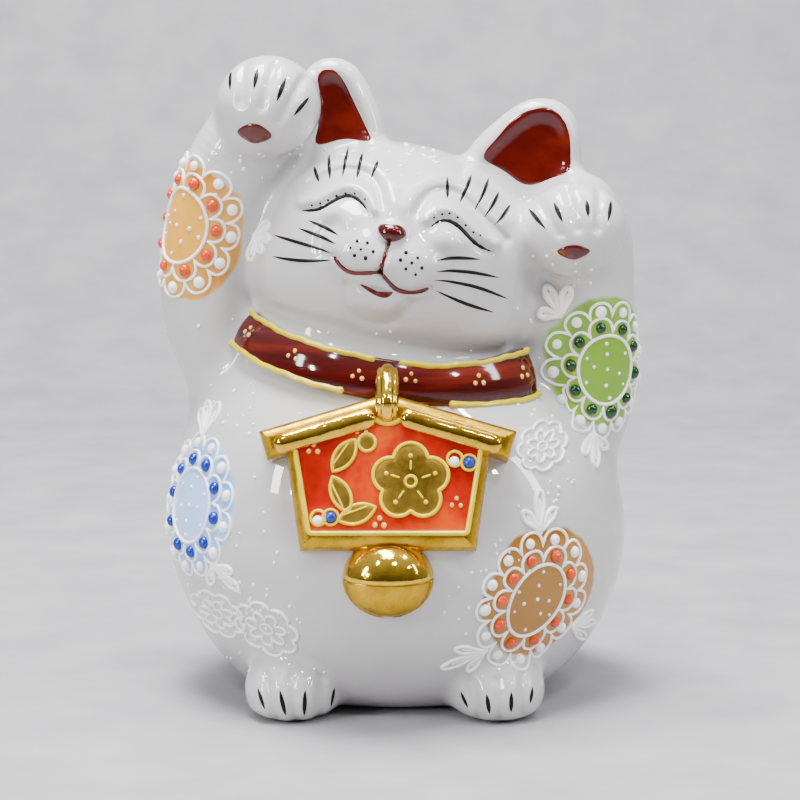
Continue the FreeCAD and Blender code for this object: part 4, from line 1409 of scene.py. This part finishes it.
def blossom_outline():
    """Five round petals as one starlike outline."""
    angles = np.linspace(0, 2 * np.pi, 150, endpoint=False)
    rays = np.stack([np.cos(angles), np.sin(angles)], -1)
    reach = np.full(len(angles), PETAL_RADIUS)
    for i in range(5):
        turn = math.radians(90 + 72 * i)
        centre = PETAL_OFFSET * np.array((math.cos(turn), math.sin(turn)))
        along = rays @ centre
        off = (centre ** 2).sum() - along ** 2
        hits = off < PETAL_RADIUS ** 2
        far = along + np.sqrt(np.where(hits, PETAL_RADIUS ** 2 - off, 0))
        reach = np.maximum(reach, np.where(hits & (along > 0), far, 0))
    return BLOSSOM_CENTRE + rays * reach[:, None]


def leaf_outline(u, v, direction):
    turn = math.radians(direction)
    along = np.array((math.cos(turn), math.sin(turn)))
    across = np.array((-math.sin(turn), math.cos(turn)))
    swing = np.linspace(-1, 1, 20)
    bulge = LEAF_WIDTH / 2 * (1 - np.abs(swing) ** 2.2)
    sides = [np.array((u, v)) + along * (t * LEAF_LENGTH / 2) + across * b for t, b in zip(swing, bulge)]
    backs = [np.array((u, v)) + along * (t * LEAF_LENGTH / 2) - across * b for t, b in zip(swing, bulge)]
    return np.array(sides + backs[-2:0:-1])


def circle(centre, radius, count=36):
    angles = np.linspace(0, 2 * np.pi, count, endpoint=False)
    return np.stack([centre[0] + radius * np.cos(angles), centre[1] + radius * np.sin(angles)], -1)


def build_plaque():
    board = slab_field(BOARD_OUTLINE, -30, 0, 5.5)
    field_piece("plaque_board", board, (-37, -77, 56), (33, -25, 106), SATIN_GOLD, GRID_FINE)
    thick = ROOF_THICK * math.sqrt(1 + ROOF_SLOPE ** 2)
    low_edge = ROOF_EAVE - ROOF_THICK * ROOF_SLOPE / math.sqrt(1 + ROOF_SLOPE ** 2)
    right = [(low_edge, ROOF_APEX - low_edge * ROOF_SLOPE - thick),
             (ROOF_EAVE, ROOF_APEX - ROOF_EAVE * ROOF_SLOPE)]
    outline = right + [(0, ROOF_APEX)] + [(-u, v) for u, v in reversed(right)] + [(0, ROOF_APEX - thick)]
    roof = slab_field(outline, -29, 1.4, 4.5)
    field_piece("plaque_roof", roof, (-46, -77, 84), (42, -25, 112), SATIN_GOLD, GRID_FINE)
    for side, name in ((-1, "right"), (1, "left")):
        bar = Heap()
        across = np.linspace(*BAR_SPAN, 40)
        line = np.stack([side * across, ROOF_APEX - thick + BAR_RISE - across * ROOF_SLOPE], -1)
        stroke(bar, on_plaque(1.0)(line), BAR_HALF, BAR_HIGH, rounded, section=15, sink=1.5)
        bar.piece("plaque_%s_roof_bar" % name, BRIGHT_GOLD)
    panel = Heap()
    outline = rounded_outline(PANEL_OUTLINE, 1.0)
    patch(panel, on_plaque(0.0), outline, PANEL_TOP, 0.25, 1.5, 14)
    panel.piece("plaque_panel", VERMILION)
    border = Heap()
    wobble = np.sin(np.arange(len(outline)) * 0.37)[:, None] * 0.07
    stroke(border, on_plaque(0.25)(outline * (1 + wobble * 0.01)), 0.82, 1.35, closed=True, section=9)
    border.piece("plaque_border", CREAM_YELLOW)
    build_emblem()


def build_emblem():
    plates, outlines = Heap(), Heap()
    face = on_plaque(PANEL_TOP - 0.1)
    patch(plates, face, blossom_outline(), 0.75, 0.1, 0.5)
    plates.piece("plaque_blossom", DARK_GOLD)
    stroke(outlines, face(blossom_outline()), 0.66, 1.15, closed=True)
    raised = on_plaque(PANEL_TOP + 0.6)
    stroke(outlines, raised(circle(BLOSSOM_CENTRE, 1.7)), 0.5, 0.6, closed=True)
    for i in range(5):
        turn = math.radians(90 + 72 * i)
        ray = np.array((math.cos(turn), math.sin(turn)))
        line = np.linspace(BLOSSOM_CENTRE + ray * 3.4, BLOSSOM_CENTRE + ray * 6.6, 8)
        stroke(outlines, raised(line), 0.36, 0.45)
        beads(outlines, raised([BLOSSOM_CENTRE + ray * 7.9]), 0.75, 0.6, 10)
    leaves = Heap()
    for place in LEAVES:
        outline = leaf_outline(*place)
        patch(leaves, face, outline, 0.7, 0.15, 0.5)
        stroke(outlines, face(outline), 0.6, 1.1, closed=True)
        stroke(outlines, raised(np.linspace(outline[2], outline[17], 8)), 0.32, 0.45)
    patch(leaves, face, circle(BUD[:2], BUD[2]), 0.7, 0.2, 0.5)
    stroke(outlines, face(circle(BUD[:2], BUD[2])), 0.6, 1.1, closed=True)
    leaves.piece("plaque_leaves", DARK_GOLD)
    white, blue = Heap(), Heap()
    for white_at, blue_at in WHITE_AND_BLUE:
        beads(white, face([white_at]), 1.65, 1.7)
        beads(blue, face([blue_at]), 1.8, 1.9)
        stroke(outlines, face(circle(blue_at, 2.35)), 0.5, 0.8, closed=True)
        stroke(outlines, face(circle((white_at[0] + 0.2, white_at[1] + 0.9), 2.3)), 0.5, 0.8, closed=True)
    white.piece("plaque_white_beads", WHITE_ENAMEL)
    blue.piece("plaque_blue_beads", BLUE)
    outlines.piece("plaque_emblem_outlines", CREAM_YELLOW)
    dots = Heap()
    for middle in PANEL_TRIOS:
        beads(dots, face(np.array(middle) + np.array(TRIO)), 0.78, 0.7, 10, 0.15)
    dots.piece("plaque_dots", CREAM)


LOOP_X = -2.3
LOOP_LINE = [(-46.5, 106.5), (-50.0, 111.0), (-54.6, 112.3), (-58.8, 110.3), (-61.8, 107.0), (-63.2, 104.2),
             (-62.0, 101.9), (-58.8, 101.0)]                    # (y, z) down the strap
LOOP_RADIUS = 3.4
LOOP_WIDEN = 1.08
BELL_CENTRE = np.array((-2.0, -66.0, 50.3))
BELL_UPPER = np.array((14.3, 12.5, 12.5))
BELL_LOWER = np.array((14.2, 10.0, 12.5))
BELL_REACH = 16
BELL_STEP = 0.5


def loop_field(p):
    """Strap that folds over the collar, with a soft crease down each side of its middle."""
    line = curve(LOOP_LINE, 0.8)
    gap = line_distance(p[:, 1:], line)
    x = (p[:, 0] - LOOP_X) / LOOP_WIDEN
    crease = 0.35 * np.exp(-((np.abs(x) - 1.9) / 0.55) ** 2)
    return np.sqrt(x * x + gap * gap) - LOOP_RADIUS + crease


def upper_bell_field(p):
    return smooth_max(ellipsoid(p, BELL_CENTRE, BELL_UPPER), BELL_CENTRE[2] - p[:, 2], 1.6)


def lower_bell_field(p):
    q = (p - BELL_CENTRE) / BELL_LOWER
    seen = np.sqrt(q[:, 0] ** 2 + q[:, 2] ** 2)
    rim = 0.45 * np.exp(-((seen - 0.925) / 0.022) ** 2) * (p[:, 1] < BELL_CENTRE[1])
    notch = 1.1 * np.exp(-(p[:, 0] - BELL_CENTRE[0]) ** 2 / 1.2) * step_up(-q[:, 2], 0.86, 0.97)
    shell = ellipsoid(p, BELL_CENTRE, BELL_LOWER) + rim + notch
    return smooth_max(shell, p[:, 2] - BELL_CENTRE[2] - 0.3, 1.0)


def build_bell():
    field_piece("strap_loop", loop_field, (-8, -69, 91), (4, -41, 119), BRIGHT_GOLD, BELL_STEP)
    low, high = BELL_CENTRE - BELL_REACH, BELL_CENTRE + BELL_REACH
    field_piece("bell_upper_half", upper_bell_field, low, high, BRIGHT_GOLD, BELL_STEP)
    field_piece("bell_lower_half", lower_bell_field, low, high, SATIN_GOLD, BELL_STEP)


build_face()
build_claws()
build_patches()
build_enamel()
build_collar()
build_plaque()
build_bell()

# ================================================================ floor, light and camera
CAMERA_DISTANCE = 820
CAMERA_RISE = math.radians(8.5)
CAMERA_TARGET = np.array((1.7, 0.0, 96.3))
CAMERA_LENS = 110.5
BACKDROP_Y = 0.55
BACKDROP_BEND = 0.5
FLOOR_TONES = ((0.3, (0.27, 0.265, 0.28)), (0.7, (0.34, 0.335, 0.35)))
# tones of the studio, from the dim side behind the camera to the bright side above
STUDIO_TONES = ((0.08, (0.085, 0.07, 0.06)), (0.30, (0.15, 0.14, 0.135)), (0.62, (0.40, 0.40, 0.42)),
                (1.0, (0.85, 0.86, 0.90)))


# small strips of light that glint in the glaze: (place, length) in metres
SPARKS = [((-0.42, -0.62, 0.95), 0.11), ((0.30, -0.75, 0.98), 0.07), ((0.55, -0.15, 1.05), 0.12),
          ((-0.75, -0.70, 0.40), 0.14), ((0.80, -0.60, 0.70), 0.10)]


def point_at(thing, target):
    from_target = thing.location - target
    thing.rotation_euler = from_target.to_track_quat("Z", "Y").to_euler()


def build_camera():
    data = bpy.data.cameras.new("camera")
    data.lens = CAMERA_LENS
    camera = bpy.data.objects.new("camera", data)
    bpy.context.scene.collection.objects.link(camera)
    back = np.array((0, -math.cos(CAMERA_RISE), math.sin(CAMERA_RISE)))
    camera.location = ((CAMERA_TARGET + back * CAMERA_DISTANCE) * METRE).tolist()
    point_at(camera, Vector((CAMERA_TARGET * METRE).tolist()))
    bpy.context.scene.camera = camera


def build_light(name, place, size, power):
    data = bpy.data.lights.new(name, "AREA")
    data.shape = "RECTANGLE"
    data.size, data.size_y = size
    data.energy = power
    light = bpy.data.objects.new(name, data)
    light.location = place
    bpy.context.scene.collection.objects.link(light)
    point_at(light, Vector((0, 0, 0.1)))


def build_floor():
    """Pale sheet that lies flat under the cat and curves up behind it."""
    profile = [(-3.0, 0.0), (BACKDROP_Y, 0.0)]
    for k in range(1, 13):
        turn = math.pi / 2 * k / 12
        profile.append((BACKDROP_Y + BACKDROP_BEND * math.sin(turn), BACKDROP_BEND * (1 - math.cos(turn))))
    profile.append((BACKDROP_Y + BACKDROP_BEND, 3.0))
    points = [(x, y, z) for y, z in profile for x in (-3.0, 3.0)]
    faces = [(2 * k, 2 * k + 1, 2 * k + 3, 2 * k + 2) for k in range(len(profile) - 1)]
    mesh = bpy.data.meshes.new("floor")
    mesh.from_pydata(points, [], faces)
    mesh.polygons.foreach_set("use_smooth", [True] * len(faces))
    material = bpy.data.materials.new("pale_floor")
    paint = Paint(material)
    paint.finish(paint.ramp(paint.noise(30, 8), FLOOR_TONES), Roughness=0.55)
    mesh.materials.append(material)
    floor = bpy.data.objects.new("floor", mesh)
    bpy.context.scene.collection.objects.link(floor)


def build_world():
    """Pale behind and above, dim behind the camera, so that glaze and gold have something to mirror."""
    world = bpy.data.worlds.new("studio")
    bpy.context.scene.world = world
    paint = Paint(world)
    _, y, z = paint.place("Generated")
    overhead = paint.number("MULTIPLY_ADD", z, 0.6, 0.42)
    facing = paint.number("MULTIPLY_ADD", y, 0.3, overhead)
    background = paint.nodes["Background"]
    paint.links.new(paint.ramp(facing, STUDIO_TONES), background.inputs["Color"])
    background.inputs["Strength"].default_value = 1.0


build_camera()
build_floor()
build_world()
build_light("softbox", (-0.12, -0.06, 1.2), (0.7, 0.42), 46)
build_light("back_wash", (0.0, 0.35, 1.5), (1.2, 0.3), 8)
build_light("left_window", (-1.0, -0.65, 0.6), (0.10, 0.5), 8)
build_light("right_window", (1.05, -0.35, 0.6), (0.10, 0.5), 4.5)
for spark, length in SPARKS:
    build_light("spark", spark, (0.045, length), 3.2)
